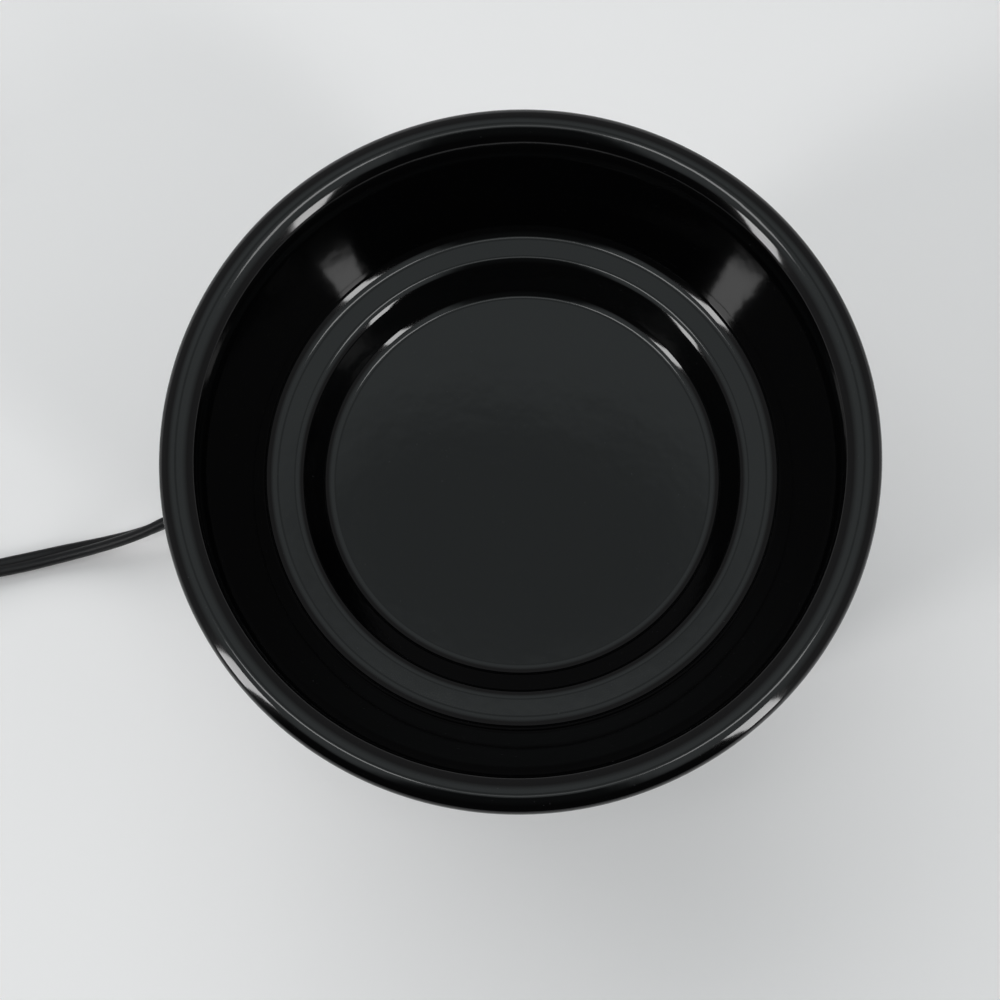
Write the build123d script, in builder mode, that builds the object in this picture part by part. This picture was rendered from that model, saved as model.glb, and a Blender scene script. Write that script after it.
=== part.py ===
from build123d import *
import os
from math import atan2, cos, hypot, pi, sin, sqrt, tan

# Electric wax melt warmer: a glazed dish on a small hot plate, in a glazed pot, with a mains lead.
# Millimetres, +Z up. The origin is on the table, on the axis of the pot. The lead leaves along -X.

os.makedirs("parts", exist_ok=True)

# Overall
overall_height = 112.0
rim_diameter = 120.0

# Wax dish: depths are measured from the top of the rim
rim_width = 4.9
lip_round_share = 0.98
lip_height = 6.2
lip_undercut = 3.0
dish_wall = 4.0
ledge_depth = 21.0
ledge_outer_radius = 45.2
ledge_inner_radius = 39.5
ledge_fillet = 2.7
ledge_edge_round = 2.1
well_depth = 26.8
well_radius = 35.3
well_fillet = 2.5
heel_chamfer = 1.5

# Pot
pot_wall = 4.2
base_radius = 50.0
neck_radius = 47.0
skirt_height = 26.0
pot_foot_chamfer = 1.2
pot_mouth_round = 1.5
ledge_clearance = 0.5
mouth_clearance = 0.6
shelf_width = 5.8
shelf_thickness = 4.0

# Hot plate and its seal
plate_thickness = 2.5
gasket_thickness = 1.0
gasket_wall = 1.2
gasket_lip_drop = 0.7
boss_radius = 6.5
boss_height = 1.5

# Heater stack under the hot plate
mica_thickness = 0.6
mica_bore_clearance = 0.5
ribbon_thickness = 0.4
ribbon_width = 2.2
ribbon_rows_a_side = 4
ribbon_first_row = 10.0
ribbon_row_pitch = 5.2
ribbon_edge_margin = 2.0
clamp_thickness = 1.2
clamp_margin = 2.5
mica_margin = 1.0
post_radius = 1.3
post_length = 9.0
bush_wall = 1.2
bush_length = 3.4
fit_clearance = 0.1

# Tie rod with its nuts and washers
rod_radius = 2.0
plate_skin = 0.9
nut_across_flats = 7.0
nut_thickness = 3.2
washer_radius = 4.5
washer_thickness = 0.8
rod_clearance = 0.2

# Thermal fuse
fuse_offset = 19.0
fuse_radius = 2.0
fuse_length = 11.0
fuse_lead_radius = 0.6
fuse_lead_length = 4.5
sleeve_wall = 0.6
sleeve_length = 15.0
clip_thickness = 0.8
clip_width = 6.0
clip_tab = 6.0
crimp_radius = 1.5
crimp_length = 5.0
crimp_run = 10.0
clip_screw_radius = 1.2
clip_screw_head_radius = 2.4
clip_screw_head = 1.4

# Base plate and feet
base_thickness = 3.0
base_clearance = 0.4
base_seat = 1.4
hub_radius = 11.5
hub_wall = 2.5
hub_rise = 7.5
vent_count = 8
vent_circle_radius = 25.0
vent_length = 12.0
vent_width = 3.0
foot_count = 4
foot_circle_radius = 37.0
foot_radius = 5.5
foot_height = 3.0
foot_recess = 1.0

# Lead: a flat twin cord, standing on its edge
cord_width = 5.0
cord_thickness = 2.4
wire_radius = 1.0
post_run = 9.0

# Strain relief
exit_height = 13.0
exit_radius = 4.4
relief_clearance = 0.15
relief_flange_radius = 5.8
relief_flange = 2.0
boot_length = 18.0
boot_root_radius = 4.6
boot_tip_radius = 3.3
groove_count = 3
groove_width = 1.3
groove_pitch = 4.0
groove_depth = 0.8

# In-line switch
switch_x = -180.0
switch_y = -22.0
switch_length = 56.0
switch_width = 20.0
switch_split = 7.2
switch_top = 14.0
switch_corner = 8.0
switch_wall = 1.8
switch_edge = 1.5
rocker_length = 21.0
rocker_width = 10.0
rocker_pivot_height = 10.5
rocker_end_rise = 4.6
rocker_dip = 1.4
rocker_skirt = 0.5
rocker_hub_radius = 3.0
rocker_tilt = 8.0
rocker_clearance = 0.4
pin_radius = 1.2
cheek_thickness = 1.6
contact_thickness = 0.8
contact_width = 4.0
contact_length = 9.0
contact_button_radius = 1.2
contact_button_height = 1.6
contact_reach = 7.0
contact_gap = 0.3
switch_screw_radius = 1.1
switch_screw_head_radius = 2.1
switch_screw_head = 1.2
switch_screw_spread = 17.0
switch_screw_sink = 0.6
switch_boss_radius = 3.2
slot_clearance = 0.25

# Put-away coil of the lead, in two layers
coil_x = -227.5
coil_y = 26.0
coil_radius = 33.5
coil_inward_halves = 5
coil_gap = 0.6
layer_gap = 0.5
tie_thickness = 0.8
tie_clearance = 0.5
tie_length = 7.0

# Mains plug
plug_x = -203.0
plug_y = 74.0
plug_face_width = 25.0
plug_face_height = 15.0
plug_body_length = 26.0
plug_neck_width = 13.0
plug_neck_height = 10.0
plug_tail_length = 22.0
plug_tail_taper = 4.2
plug_edge = 2.0
blade_spacing = 12.7
blade_width = 6.35
blade_thickness = 1.5
blade_length = 16.5
blade_root = 4.0
blade_tip_chamfer = 1.8

# Heights and radii that follow from the sizes above
rim_radius = rim_diameter / 2
rim_inner_radius = rim_radius - rim_width
rim_z = overall_height
ledge_z = rim_z - ledge_depth
well_z = rim_z - well_depth
wall_slope = atan2(ledge_depth, rim_inner_radius - ledge_outer_radius)
lip_round = lip_round_share * rim_width / (1 + tan(wall_slope / 2))
step_slope = atan2(well_depth - ledge_depth, ledge_inner_radius - well_radius)
ledge_under_z = ledge_z - dish_wall
dish_bottom_z = well_z - dish_wall
lip_foot_z = rim_z - lip_height


def dish_outside(z):
    """Outside radius of the dish's flaring wall at height z."""
    return ledge_outer_radius + (z - ledge_z) / tan(wall_slope) + dish_wall / sin(wall_slope)


def boss_outside(z):
    """Outside radius of the sunk middle of the dish at height z."""
    return well_radius + (z - well_z) / tan(step_slope) + dish_wall / sin(step_slope)


pot_top_z = ledge_under_z - ledge_clearance
mouth_radius = boss_outside(pot_top_z) + mouth_clearance
plate_top_z = dish_bottom_z
plate_under_z = plate_top_z - plate_thickness
shelf_z = plate_under_z - gasket_thickness
shelf_under_z = shelf_z - shelf_thickness
shelf_hole_radius = mouth_radius - shelf_width
plate_radius = mouth_radius - gasket_wall
base_z = foot_height
base_top_z = base_z + base_thickness
pot_inner_radius = base_radius - pot_wall
pot_inner_neck = neck_radius - pot_wall
skirt_z = base_z + skirt_height
base_plate_radius = pot_inner_radius + base_seat - base_clearance
clamp_radius = shelf_hole_radius - clamp_margin
mica_radius = clamp_radius - mica_margin
ribbon_z = plate_under_z - mica_thickness - ribbon_thickness
lower_mica_z = ribbon_z - mica_thickness
clamp_z = lower_mica_z - clamp_thickness
ribbon_radius = mica_radius - ribbon_edge_margin
row_offsets = [ribbon_first_row + ribbon_row_pitch * row for row in range(ribbon_rows_a_side)]
row_places = [-offset for offset in reversed(row_offsets)] + row_offsets
row_reaches = [sqrt(ribbon_radius**2 - (abs(place) + ribbon_width / 2) ** 2) for place in row_places]
post_places = [(row_reaches[0], row_places[0]), (row_reaches[-1], row_places[-1])]
post_foot_z = ribbon_z - post_length
hub_ceiling_z = base_top_z + hub_rise - hub_wall
rod_top_z = plate_top_z - plate_skin
sleeve_radius = fuse_radius + fit_clearance + sleeve_wall
fuse_z = clamp_z - sleeve_radius
fuse_end = fuse_length / 2 + fuse_lead_length
crimp_end = fuse_end + crimp_length
relief_inner_x = -sqrt(pot_inner_radius**2 - relief_flange_radius**2) + relief_flange
boot_root_x = -base_radius - relief_flange
boot_tip_x = boot_root_x - boot_length


def corner(sketch, radius, height):
    """The vertex of a half section that stands at this radius and height."""
    return sketch.vertices().sort_by_distance((radius, height))[0]


def finish(part, name):
    """Label a finished piece and write its file."""
    part.label = name
    export_step(part, f"parts/{name}.step")


# Wax dish: one turned section
with BuildPart() as wax_dish:
    with BuildSketch(Plane.XZ) as dish_section:
        with BuildLine():
            Polyline(
                (0, well_z),
                (well_radius, well_z),
                (ledge_inner_radius, ledge_z),
                (ledge_outer_radius, ledge_z),
                (rim_inner_radius, rim_z),
                (rim_radius, rim_z),
                (rim_radius, lip_foot_z),
                (dish_outside(lip_foot_z - lip_undercut), lip_foot_z - lip_undercut),
                (dish_outside(ledge_under_z), ledge_under_z),
                (boss_outside(ledge_under_z), ledge_under_z),
                (boss_outside(dish_bottom_z), dish_bottom_z),
                (0, dish_bottom_z),
                close=True,
            )
        make_face()
        fillet(corner(dish_section, well_radius, well_z), well_fillet)
        fillet(corner(dish_section, ledge_inner_radius, ledge_z), ledge_edge_round)
        fillet(corner(dish_section, ledge_outer_radius, ledge_z), ledge_fillet)
        fillet(corner(dish_section, rim_inner_radius, rim_z), lip_round)
        fillet(corner(dish_section, rim_radius, rim_z), lip_round)
        chamfer(corner(dish_section, dish_outside(ledge_under_z), ledge_under_z), heel_chamfer)
    revolve(axis=Axis.Z)
finish(wax_dish.part, "wax_dish")

# Pot: an upright skirt that leans in to the neck, with a shelf for the hot plate in its mouth
with BuildPart() as pot:
    with BuildSketch(Plane.XZ) as pot_section:
        with BuildLine():
            Polyline((pot_inner_radius + base_seat, base_z), (base_radius, base_z), (base_radius, skirt_z))
            TangentArc((base_radius, skirt_z), (neck_radius, pot_top_z), tangent=(0, 1))
            Polyline(
                (neck_radius, pot_top_z),
                (mouth_radius, pot_top_z),
                (mouth_radius, shelf_z),
                (shelf_hole_radius, shelf_z),
                (shelf_hole_radius, shelf_under_z),
                (pot_inner_neck, shelf_under_z),
                (pot_inner_radius, skirt_z),
                (pot_inner_radius, base_top_z),
                (pot_inner_radius + base_seat, base_top_z),
                (pot_inner_radius + base_seat, base_z),
            )
        make_face()
        fillet(corner(pot_section, neck_radius, pot_top_z), pot_mouth_round)
        chamfer(corner(pot_section, base_radius, base_z), pot_foot_chamfer)
    revolve(axis=Axis.Z)
    with BuildSketch(Plane((0, 0, exit_height), x_dir=(0, 1, 0), z_dir=(-1, 0, 0))):
        Circle(exit_radius)
    extrude(amount=base_radius + pot_wall, mode=Mode.SUBTRACT)
finish(pot.part, "pot")

# Seal between the hot plate and the pot: a ring of L section
with BuildPart() as plate_gasket:
    with BuildSketch(Plane.XZ):
        with BuildLine():
            Polyline(
                (shelf_hole_radius, shelf_z),
                (mouth_radius, shelf_z),
                (mouth_radius, plate_top_z - gasket_lip_drop),
                (plate_radius, plate_top_z - gasket_lip_drop),
                (plate_radius, plate_under_z),
                (shelf_hole_radius, plate_under_z),
                close=True,
            )
        make_face()
    revolve(axis=Axis.Z)
finish(plate_gasket.part, "plate_gasket")

# Hot plate: a disc with a tapped boss below
with BuildPart() as hot_plate:
    with BuildSketch(Plane.XY.offset(plate_under_z)):
        Circle(plate_radius)
    extrude(amount=plate_thickness)
    with BuildSketch(Plane.XY.offset(plate_under_z)):
        Circle(boss_radius)
    extrude(amount=-boss_height)
    with BuildSketch(Plane.XY.offset(plate_under_z - boss_height)):
        Circle(rod_radius + fit_clearance)
    extrude(amount=rod_top_z - plate_under_z + boss_height, mode=Mode.SUBTRACT)
finish(hot_plate.part, "hot_plate")

# Insulating sheets above and below the resistance ribbon
with BuildPart() as upper_mica:
    with BuildSketch(Plane.XY.offset(plate_under_z)):
        Circle(mica_radius)
        Circle(boss_radius + mica_bore_clearance, mode=Mode.SUBTRACT)
    extrude(amount=-mica_thickness)
finish(upper_mica.part, "upper_mica")

with BuildPart() as lower_mica:
    with BuildSketch(Plane.XY.offset(ribbon_z)):
        Circle(mica_radius)
        Circle(boss_radius + mica_bore_clearance, mode=Mode.SUBTRACT)
        with Locations(*post_places):
            Circle(post_radius + fit_clearance, mode=Mode.SUBTRACT)
    extrude(amount=-mica_thickness)
finish(lower_mica.part, "lower_mica")

# Resistance ribbon: straight rows across the sheet, linked end to end in turn and left clear of the boss
link_places = []
for link in range(len(row_places) - 1):
    link_side = -1 if link % 2 == 0 else 1
    link_places.append(link_side * (min(row_reaches[link], row_reaches[link + 1]) - ribbon_width / 2))
row_ends = [row_reaches[0]] + link_places + [row_reaches[-1]]
with BuildPart() as heater_ribbon:
    with BuildSketch(Plane.XY.offset(ribbon_z)):
        for row, row_y in enumerate(row_places):
            with Locations(((row_ends[row] + row_ends[row + 1]) / 2, row_y)):
                Rectangle(abs(row_ends[row] - row_ends[row + 1]) + ribbon_width, ribbon_width)
        for link, link_x in enumerate(link_places):
            with Locations((link_x, (row_places[link] + row_places[link + 1]) / 2)):
                Rectangle(ribbon_width, row_places[link + 1] - row_places[link])
    extrude(amount=ribbon_thickness)
finish(heater_ribbon.part, "heater_ribbon")

# Steel disc that clamps the heater stack to the hot plate
with BuildPart() as clamp_disc:
    with BuildSketch(Plane.XY.offset(clamp_z)):
        Circle(clamp_radius)
        Circle(rod_radius + rod_clearance, mode=Mode.SUBTRACT)
        with Locations(*post_places):
            Circle(post_radius + fit_clearance + bush_wall, mode=Mode.SUBTRACT)
        with Locations((-fuse_offset - clip_tab, 0), (-fuse_offset + clip_tab, 0)):
            Circle(clip_screw_radius + fit_clearance, mode=Mode.SUBTRACT)
    extrude(amount=clamp_thickness)
finish(clamp_disc.part, "clamp_disc")

# Terminal posts of the ribbon, and the ceramic bushes that carry them through the clamp disc
with BuildPart() as terminal_posts:
    with BuildSketch(Plane.XY.offset(ribbon_z)):
        with Locations(*post_places):
            Circle(post_radius)
    extrude(amount=-post_length)
finish(terminal_posts.part, "terminal_posts")

with BuildPart() as terminal_bushes:
    with BuildSketch(Plane.XY.offset(lower_mica_z)):
        with Locations(*post_places):
            Circle(post_radius + fit_clearance + bush_wall)
        with Locations(*post_places):
            Circle(post_radius + fit_clearance, mode=Mode.SUBTRACT)
    extrude(amount=-bush_length)
finish(terminal_bushes.part, "terminal_bushes")

# Base plate: a disc let into the foot of the pot, with a raised hub over the lower nut
with BuildPart() as base_plate:
    with BuildSketch(Plane.XY.offset(base_z)):
        Circle(base_plate_radius)
    extrude(amount=base_thickness)
    with BuildSketch(Plane.XY.offset(base_top_z)):
        Circle(hub_radius)
    extrude(amount=hub_rise)
    with BuildSketch(Plane.XY.offset(base_z)):
        Circle(hub_radius - hub_wall)
    extrude(amount=hub_ceiling_z - base_z, mode=Mode.SUBTRACT)
    with BuildSketch(Plane.XY.offset(hub_ceiling_z)):
        Circle(rod_radius + rod_clearance)
    extrude(amount=hub_wall, mode=Mode.SUBTRACT)
    with BuildSketch(Plane.XY.offset(base_z)):
        with PolarLocations(vent_circle_radius, vent_count):
            Rectangle(vent_length, vent_width)
    extrude(amount=base_thickness, mode=Mode.SUBTRACT)
    with BuildSketch(Plane.XY.offset(base_z)):
        with PolarLocations(foot_circle_radius, foot_count, start_angle=180 / foot_count):
            Circle(foot_radius + fit_clearance)
    extrude(amount=foot_recess, mode=Mode.SUBTRACT)
finish(base_plate.part, "base_plate")

# Rubber feet, let into the base plate
with BuildPart() as feet:
    with BuildSketch():
        with PolarLocations(foot_circle_radius, foot_count, start_angle=180 / foot_count):
            Circle(foot_radius)
    extrude(amount=foot_height + foot_recess)
finish(feet.part, "feet")

# Tie rod from the hot plate to the base plate, which clamps the pot between them
rod_foot_z = hub_ceiling_z - washer_thickness - nut_thickness - rod_radius
with BuildPart() as tie_rod:
    with BuildSketch(Plane.XY.offset(rod_foot_z)):
        Circle(rod_radius)
    extrude(amount=rod_top_z - rod_foot_z)
finish(tie_rod.part, "tie_rod")

with BuildPart() as tie_washers:
    for washer_z in (clamp_z - washer_thickness, hub_ceiling_z - washer_thickness):
        with BuildSketch(Plane.XY.offset(washer_z)):
            Circle(washer_radius)
            Circle(rod_radius + fit_clearance, mode=Mode.SUBTRACT)
        extrude(amount=washer_thickness)
finish(tie_washers.part, "tie_washers")

with BuildPart() as tie_nuts:
    for washer_z in (clamp_z - washer_thickness, hub_ceiling_z - washer_thickness):
        with BuildSketch(Plane.XY.offset(washer_z - nut_thickness)):
            RegularPolygon(nut_across_flats / 2, 6, major_radius=False)
            Circle(rod_radius + fit_clearance, mode=Mode.SUBTRACT)
        extrude(amount=nut_thickness)
finish(tie_nuts.part, "tie_nuts")

# Thermal fuse along Y under the clamp disc, in its glass-fibre sleeve
fuse_plane = Plane((-fuse_offset, 0, fuse_z), x_dir=(1, 0, 0), z_dir=(0, 1, 0))
with BuildPart() as thermal_fuse:
    with BuildSketch(fuse_plane):
        Circle(fuse_radius)
    extrude(amount=fuse_length / 2, both=True)
    with BuildSketch(fuse_plane):
        Circle(fuse_lead_radius)
    extrude(amount=fuse_end, both=True)
finish(thermal_fuse.part, "thermal_fuse")

with BuildPart() as fuse_sleeve:
    with BuildSketch(fuse_plane):
        Circle(sleeve_radius)
        Circle(fuse_radius + fit_clearance, mode=Mode.SUBTRACT)
    extrude(amount=sleeve_length / 2, both=True)
finish(fuse_sleeve.part, "fuse_sleeve")

# Saddle clip that holds the fuse against the clamp disc, with a tab on either side
clip_outer = sleeve_radius + fit_clearance + clip_thickness
with BuildPart() as fuse_clip:
    with BuildSketch(Plane((-fuse_offset, 0, clamp_z), x_dir=(1, 0, 0), z_dir=(0, -1, 0))):
        with Locations((0, -clip_thickness / 2)):
            Rectangle(2 * (clip_tab + clip_screw_head_radius), clip_thickness)
        with Locations((0, -sleeve_radius)):
            Circle(clip_outer)
        with Locations((0, clip_outer)):
            Rectangle(4 * clip_outer, 2 * clip_outer, mode=Mode.SUBTRACT)
        with Locations((0, -sleeve_radius)):
            Circle(sleeve_radius + fit_clearance, mode=Mode.SUBTRACT)
        with Locations((0, -sleeve_radius / 2)):
            Rectangle(2 * (sleeve_radius + fit_clearance), sleeve_radius, mode=Mode.SUBTRACT)
    extrude(amount=clip_width / 2, both=True)
    with BuildSketch(Plane.XY.offset(clamp_z - clip_thickness)):
        with Locations((-fuse_offset - clip_tab, 0), (-fuse_offset + clip_tab, 0)):
            Circle(clip_screw_radius + fit_clearance)
    extrude(amount=clip_thickness, mode=Mode.SUBTRACT)
finish(fuse_clip.part, "fuse_clip")

with BuildPart() as clip_screws:
    with BuildSketch(Plane.XY.offset(clamp_z - clip_thickness)):
        with Locations((-fuse_offset - clip_tab, 0), (-fuse_offset + clip_tab, 0)):
            Circle(clip_screw_head_radius)
    extrude(amount=-clip_screw_head)
    with BuildSketch(Plane.XY.offset(clamp_z - clip_thickness)):
        with Locations((-fuse_offset - clip_tab, 0), (-fuse_offset + clip_tab, 0)):
            Circle(clip_screw_radius)
    extrude(amount=clip_thickness + clamp_thickness)
finish(clip_screws.part, "clip_screws")

# Crimps that join the fuse's leads to the wires
with BuildPart() as fuse_crimps:
    for crimp_y in (fuse_end, -crimp_end):
        with BuildSketch(Plane((-fuse_offset, crimp_y, fuse_z), x_dir=(1, 0, 0), z_dir=(0, 1, 0))):
            Circle(crimp_radius)
        extrude(amount=crimp_length)
finish(fuse_crimps.part, "fuse_crimps")

# Strain relief: a flanged bush through the pot's wall with a tapered, grooved boot outside
with BuildPart() as strain_relief:
    with BuildSketch(Plane.XZ):
        with BuildLine():
            Polyline(
                (relief_inner_x, exit_height),
                (relief_inner_x, exit_height + relief_flange_radius),
                (relief_inner_x - relief_flange, exit_height + relief_flange_radius),
                (relief_inner_x - relief_flange, exit_height + exit_radius - relief_clearance),
                (-base_radius, exit_height + exit_radius - relief_clearance),
                (-base_radius, exit_height + relief_flange_radius),
                (boot_root_x, exit_height + relief_flange_radius),
                (boot_root_x, exit_height + boot_root_radius),
                (boot_tip_x, exit_height + boot_tip_radius),
                (boot_tip_x, exit_height),
                close=True,
            )
        make_face()
    revolve(axis=Axis((0, 0, exit_height), (1, 0, 0)))
    for groove in range(groove_count):
        groove_x = boot_root_x - groove_pitch * (groove + 1)
        taper = (boot_root_radius - boot_tip_radius) * groove_pitch * (groove + 1) / boot_length
        with BuildSketch(Plane((groove_x, 0, exit_height), x_dir=(0, 1, 0), z_dir=(-1, 0, 0))):
            Circle(boot_root_radius + groove_depth)
            Circle(boot_root_radius - taper - groove_depth, mode=Mode.SUBTRACT)
        extrude(amount=groove_width, mode=Mode.SUBTRACT)
finish(strain_relief.part, "strain_relief")


def bend_radii(points):
    """Largest bend radius at each inner point of a route, with room left for its neighbours."""
    radii = []
    for before, here, after in zip(points, points[1:], points[2:]):
        run_in = Vector(here) - Vector(before)
        run_out = Vector(after) - Vector(here)
        turn = run_in.get_angle(run_out) * pi / 180
        radii.append(0.45 * min(run_in.length, run_out.length) / tan(turn / 2))
    return radii


def report_route(name, points, part, section_area):
    """Print a route's bend radii, and its solid's volume against section times length."""
    radii = bend_radii(points)
    path = FilletPolyline(*points, radius=radii)
    print(name, "radii", [round(radius, 1) for radius in radii])
    print(name, "length", round(path.length, 1), "volume share", round(part.volume / (section_area * path.length), 4))


# Wires inside the pot: from the strain relief to the fuse, from the fuse to one post, and to the other post
wire_split = wire_radius + fit_clearance
live_points = [
    (relief_inner_x, 0, exit_height + wire_split),
    (-36, 0, exit_height + wire_split),
    (-29, 3, 20),
    (-26, 9, 33),
    (-25, 19, 48),
    (-21, 31, 63),
    (-fuse_offset, crimp_end + crimp_run, fuse_z),
    (-fuse_offset, crimp_end, fuse_z),
]
link_points = [
    (-fuse_offset, -crimp_end, fuse_z),
    (-fuse_offset, -crimp_end - crimp_run, fuse_z),
    (-16, -31, 66),
    (-5, -33, 58),
    (6, -31, 56),
    (post_places[0][0], post_places[0][1], post_foot_z - post_run),
    (post_places[0][0], post_places[0][1], post_foot_z),
]
neutral_points = [
    (relief_inner_x, 0, exit_height - wire_split),
    (-36, 0, exit_height - wire_split),
    (-27, -6, 15),
    (-14, -12, 20),
    (2, -12, 27),
    (14, -2, 36),
    (18, 12, 46),
    (14.5, 23, 56),
    (post_places[1][0], post_places[1][1], post_foot_z - post_run),
    (post_places[1][0], post_places[1][1], post_foot_z),
]
wire_sides = 6
wire_area = wire_sides / 2 * wire_radius**2 * sin(2 * pi / wire_sides)

with BuildPart() as live_wire:
    with BuildLine() as live_path:
        FilletPolyline(*live_points, radius=bend_radii(live_points))
    with BuildSketch(Plane(live_path.line @ 0, z_dir=live_path.line % 0)):
        RegularPolygon(wire_radius, wire_sides)
    sweep(path=live_path.line)
finish(live_wire.part, "live_wire")

with BuildPart() as link_wire:
    with BuildLine() as link_path:
        FilletPolyline(*link_points, radius=bend_radii(link_points))
    with BuildSketch(Plane(link_path.line @ 0, z_dir=link_path.line % 0)):
        RegularPolygon(wire_radius, wire_sides)
    sweep(path=link_path.line)
finish(link_wire.part, "link_wire")

with BuildPart() as neutral_wire:
    with BuildLine() as neutral_path:
        FilletPolyline(*neutral_points, radius=bend_radii(neutral_points))
    with BuildSketch(Plane(neutral_path.line @ 0, z_dir=neutral_path.line % 0)):
        RegularPolygon(wire_radius, wire_sides)
    sweep(path=neutral_path.line)
finish(neutral_wire.part, "neutral_wire")

# In-line switch, along X: two shells that meet at the cord's middle, a rocker on its pin, and contacts
switch_near_x = switch_x + switch_length / 2
switch_far_x = switch_x - switch_length / 2
cord_slot_width = cord_thickness + 2 * slot_clearance
cord_slot_height = cord_width + 2 * slot_clearance
rocker_reach = hypot(rocker_length / 2, rocker_end_rise)
rocker_mouth_length = 2 * (rocker_reach + rocker_clearance)
rocker_mouth_width = rocker_width + 2 * rocker_clearance
screw_places = [(switch_x - switch_screw_spread, switch_y), (switch_x + switch_screw_spread, switch_y)]
screw_seat_z = switch_screw_head + switch_screw_sink

with BuildPart() as switch_base:
    with BuildSketch(Plane.XY):
        with Locations((switch_x, switch_y)):
            RectangleRounded(switch_length, switch_width, switch_corner)
    extrude(amount=switch_split)
    chamfer(switch_base.edges().group_by(Axis.Z)[0], switch_edge)
    with BuildSketch(Plane.XY.offset(switch_wall)):
        with Locations((switch_x, switch_y)):
            RectangleRounded(
                switch_length - 2 * switch_wall, switch_width - 2 * switch_wall, switch_corner - switch_wall
            )
        with Locations(*screw_places):
            Circle(switch_boss_radius, mode=Mode.SUBTRACT)
    extrude(amount=switch_split - switch_wall, mode=Mode.SUBTRACT)
    with BuildSketch(Plane((switch_x, switch_y, switch_split), x_dir=(0, 1, 0), z_dir=(1, 0, 0))):
        Rectangle(cord_slot_width, cord_slot_height)
    extrude(amount=switch_length / 2, both=True, mode=Mode.SUBTRACT)
    with BuildSketch(Plane.XY):
        with Locations(*screw_places):
            Circle(switch_screw_radius + fit_clearance)
    extrude(amount=switch_split, mode=Mode.SUBTRACT)
    with BuildSketch(Plane.XY):
        with Locations(*screw_places):
            Circle(switch_screw_head_radius + fit_clearance)
    extrude(amount=screw_seat_z, mode=Mode.SUBTRACT)
finish(switch_base.part, "switch_base")

cheek_y = rocker_mouth_width / 2 + cheek_thickness / 2
with BuildPart() as switch_cover:
    with BuildSketch(Plane.XY.offset(switch_split)):
        with Locations((switch_x, switch_y)):
            RectangleRounded(switch_length, switch_width, switch_corner)
    extrude(amount=switch_top - switch_split)
    fillet(switch_cover.edges().group_by(Axis.Z)[-1], switch_edge)
    with BuildSketch(Plane.XY.offset(switch_split)):
        with Locations((switch_x, switch_y)):
            RectangleRounded(
                switch_length - 2 * switch_wall, switch_width - 2 * switch_wall, switch_corner - switch_wall
            )
        with Locations(*screw_places):
            Circle(switch_boss_radius, mode=Mode.SUBTRACT)
        with Locations((switch_x, switch_y + cheek_y), (switch_x, switch_y - cheek_y)):
            Rectangle(rocker_hub_radius * 2, cheek_thickness, mode=Mode.SUBTRACT)
    extrude(amount=switch_top - switch_split - switch_wall, mode=Mode.SUBTRACT)
    with BuildSketch(Plane.XY.offset(switch_split)):
        with Locations((switch_x, switch_y)):
            Rectangle(rocker_mouth_length, rocker_mouth_width)
    extrude(amount=switch_top - switch_split, mode=Mode.SUBTRACT)
    with BuildSketch(Plane((switch_x, switch_y, switch_split), x_dir=(0, 1, 0), z_dir=(1, 0, 0))):
        Rectangle(cord_slot_width, cord_slot_height)
    extrude(amount=switch_length / 2, both=True, mode=Mode.SUBTRACT)
    with BuildSketch(Plane((switch_x, switch_y, rocker_pivot_height), x_dir=(1, 0, 0), z_dir=(0, 1, 0))):
        Circle(pin_radius + fit_clearance)
    extrude(amount=rocker_mouth_width / 2 + cheek_thickness, both=True, mode=Mode.SUBTRACT)
    with BuildSketch(Plane.XY.offset(switch_split)):
        with Locations(*screw_places):
            Circle(switch_screw_radius + fit_clearance)
    extrude(amount=switch_top - switch_split - switch_wall, mode=Mode.SUBTRACT)
finish(switch_cover.part, "switch_cover")

# Rocker, drawn about its pivot and leaning to the off side
rocker_lean = rocker_tilt * pi / 180
rocker_pivot = (switch_x, switch_y, rocker_pivot_height)
rocker_plane = Plane(rocker_pivot, x_dir=(cos(rocker_lean), 0, sin(rocker_lean)), z_dir=(0, -1, 0))
with BuildPart() as rocker:
    with BuildSketch(rocker_plane):
        with BuildLine():
            Polyline(
                (-rocker_length / 2, rocker_skirt),
                (-rocker_length / 2, rocker_end_rise),
                (0, rocker_end_rise - rocker_dip),
                (rocker_length / 2, rocker_end_rise),
                (rocker_length / 2, rocker_skirt),
                close=True,
            )
        make_face()
        Circle(rocker_hub_radius)
        Circle(pin_radius + rocker_clearance, mode=Mode.SUBTRACT)
    extrude(amount=rocker_width / 2, both=True)
finish(rocker.part, "rocker")

with BuildPart() as rocker_contact:
    with BuildSketch(Plane(rocker_plane.from_local_coords((contact_reach, rocker_skirt, 0)), x_dir=(0, 1, 0),
                           z_dir=rocker_plane.y_dir * -1)):
        Circle(contact_button_radius)
    extrude(amount=contact_button_height)
finish(rocker_contact.part, "rocker_contact")

with BuildPart() as rocker_pin:
    with BuildSketch(Plane((switch_x, switch_y, rocker_pivot_height), x_dir=(1, 0, 0), z_dir=(0, 1, 0))):
        Circle(pin_radius)
    extrude(amount=rocker_mouth_width / 2 + cheek_thickness, both=True)
finish(rocker_pin.part, "rocker_pin")

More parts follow.
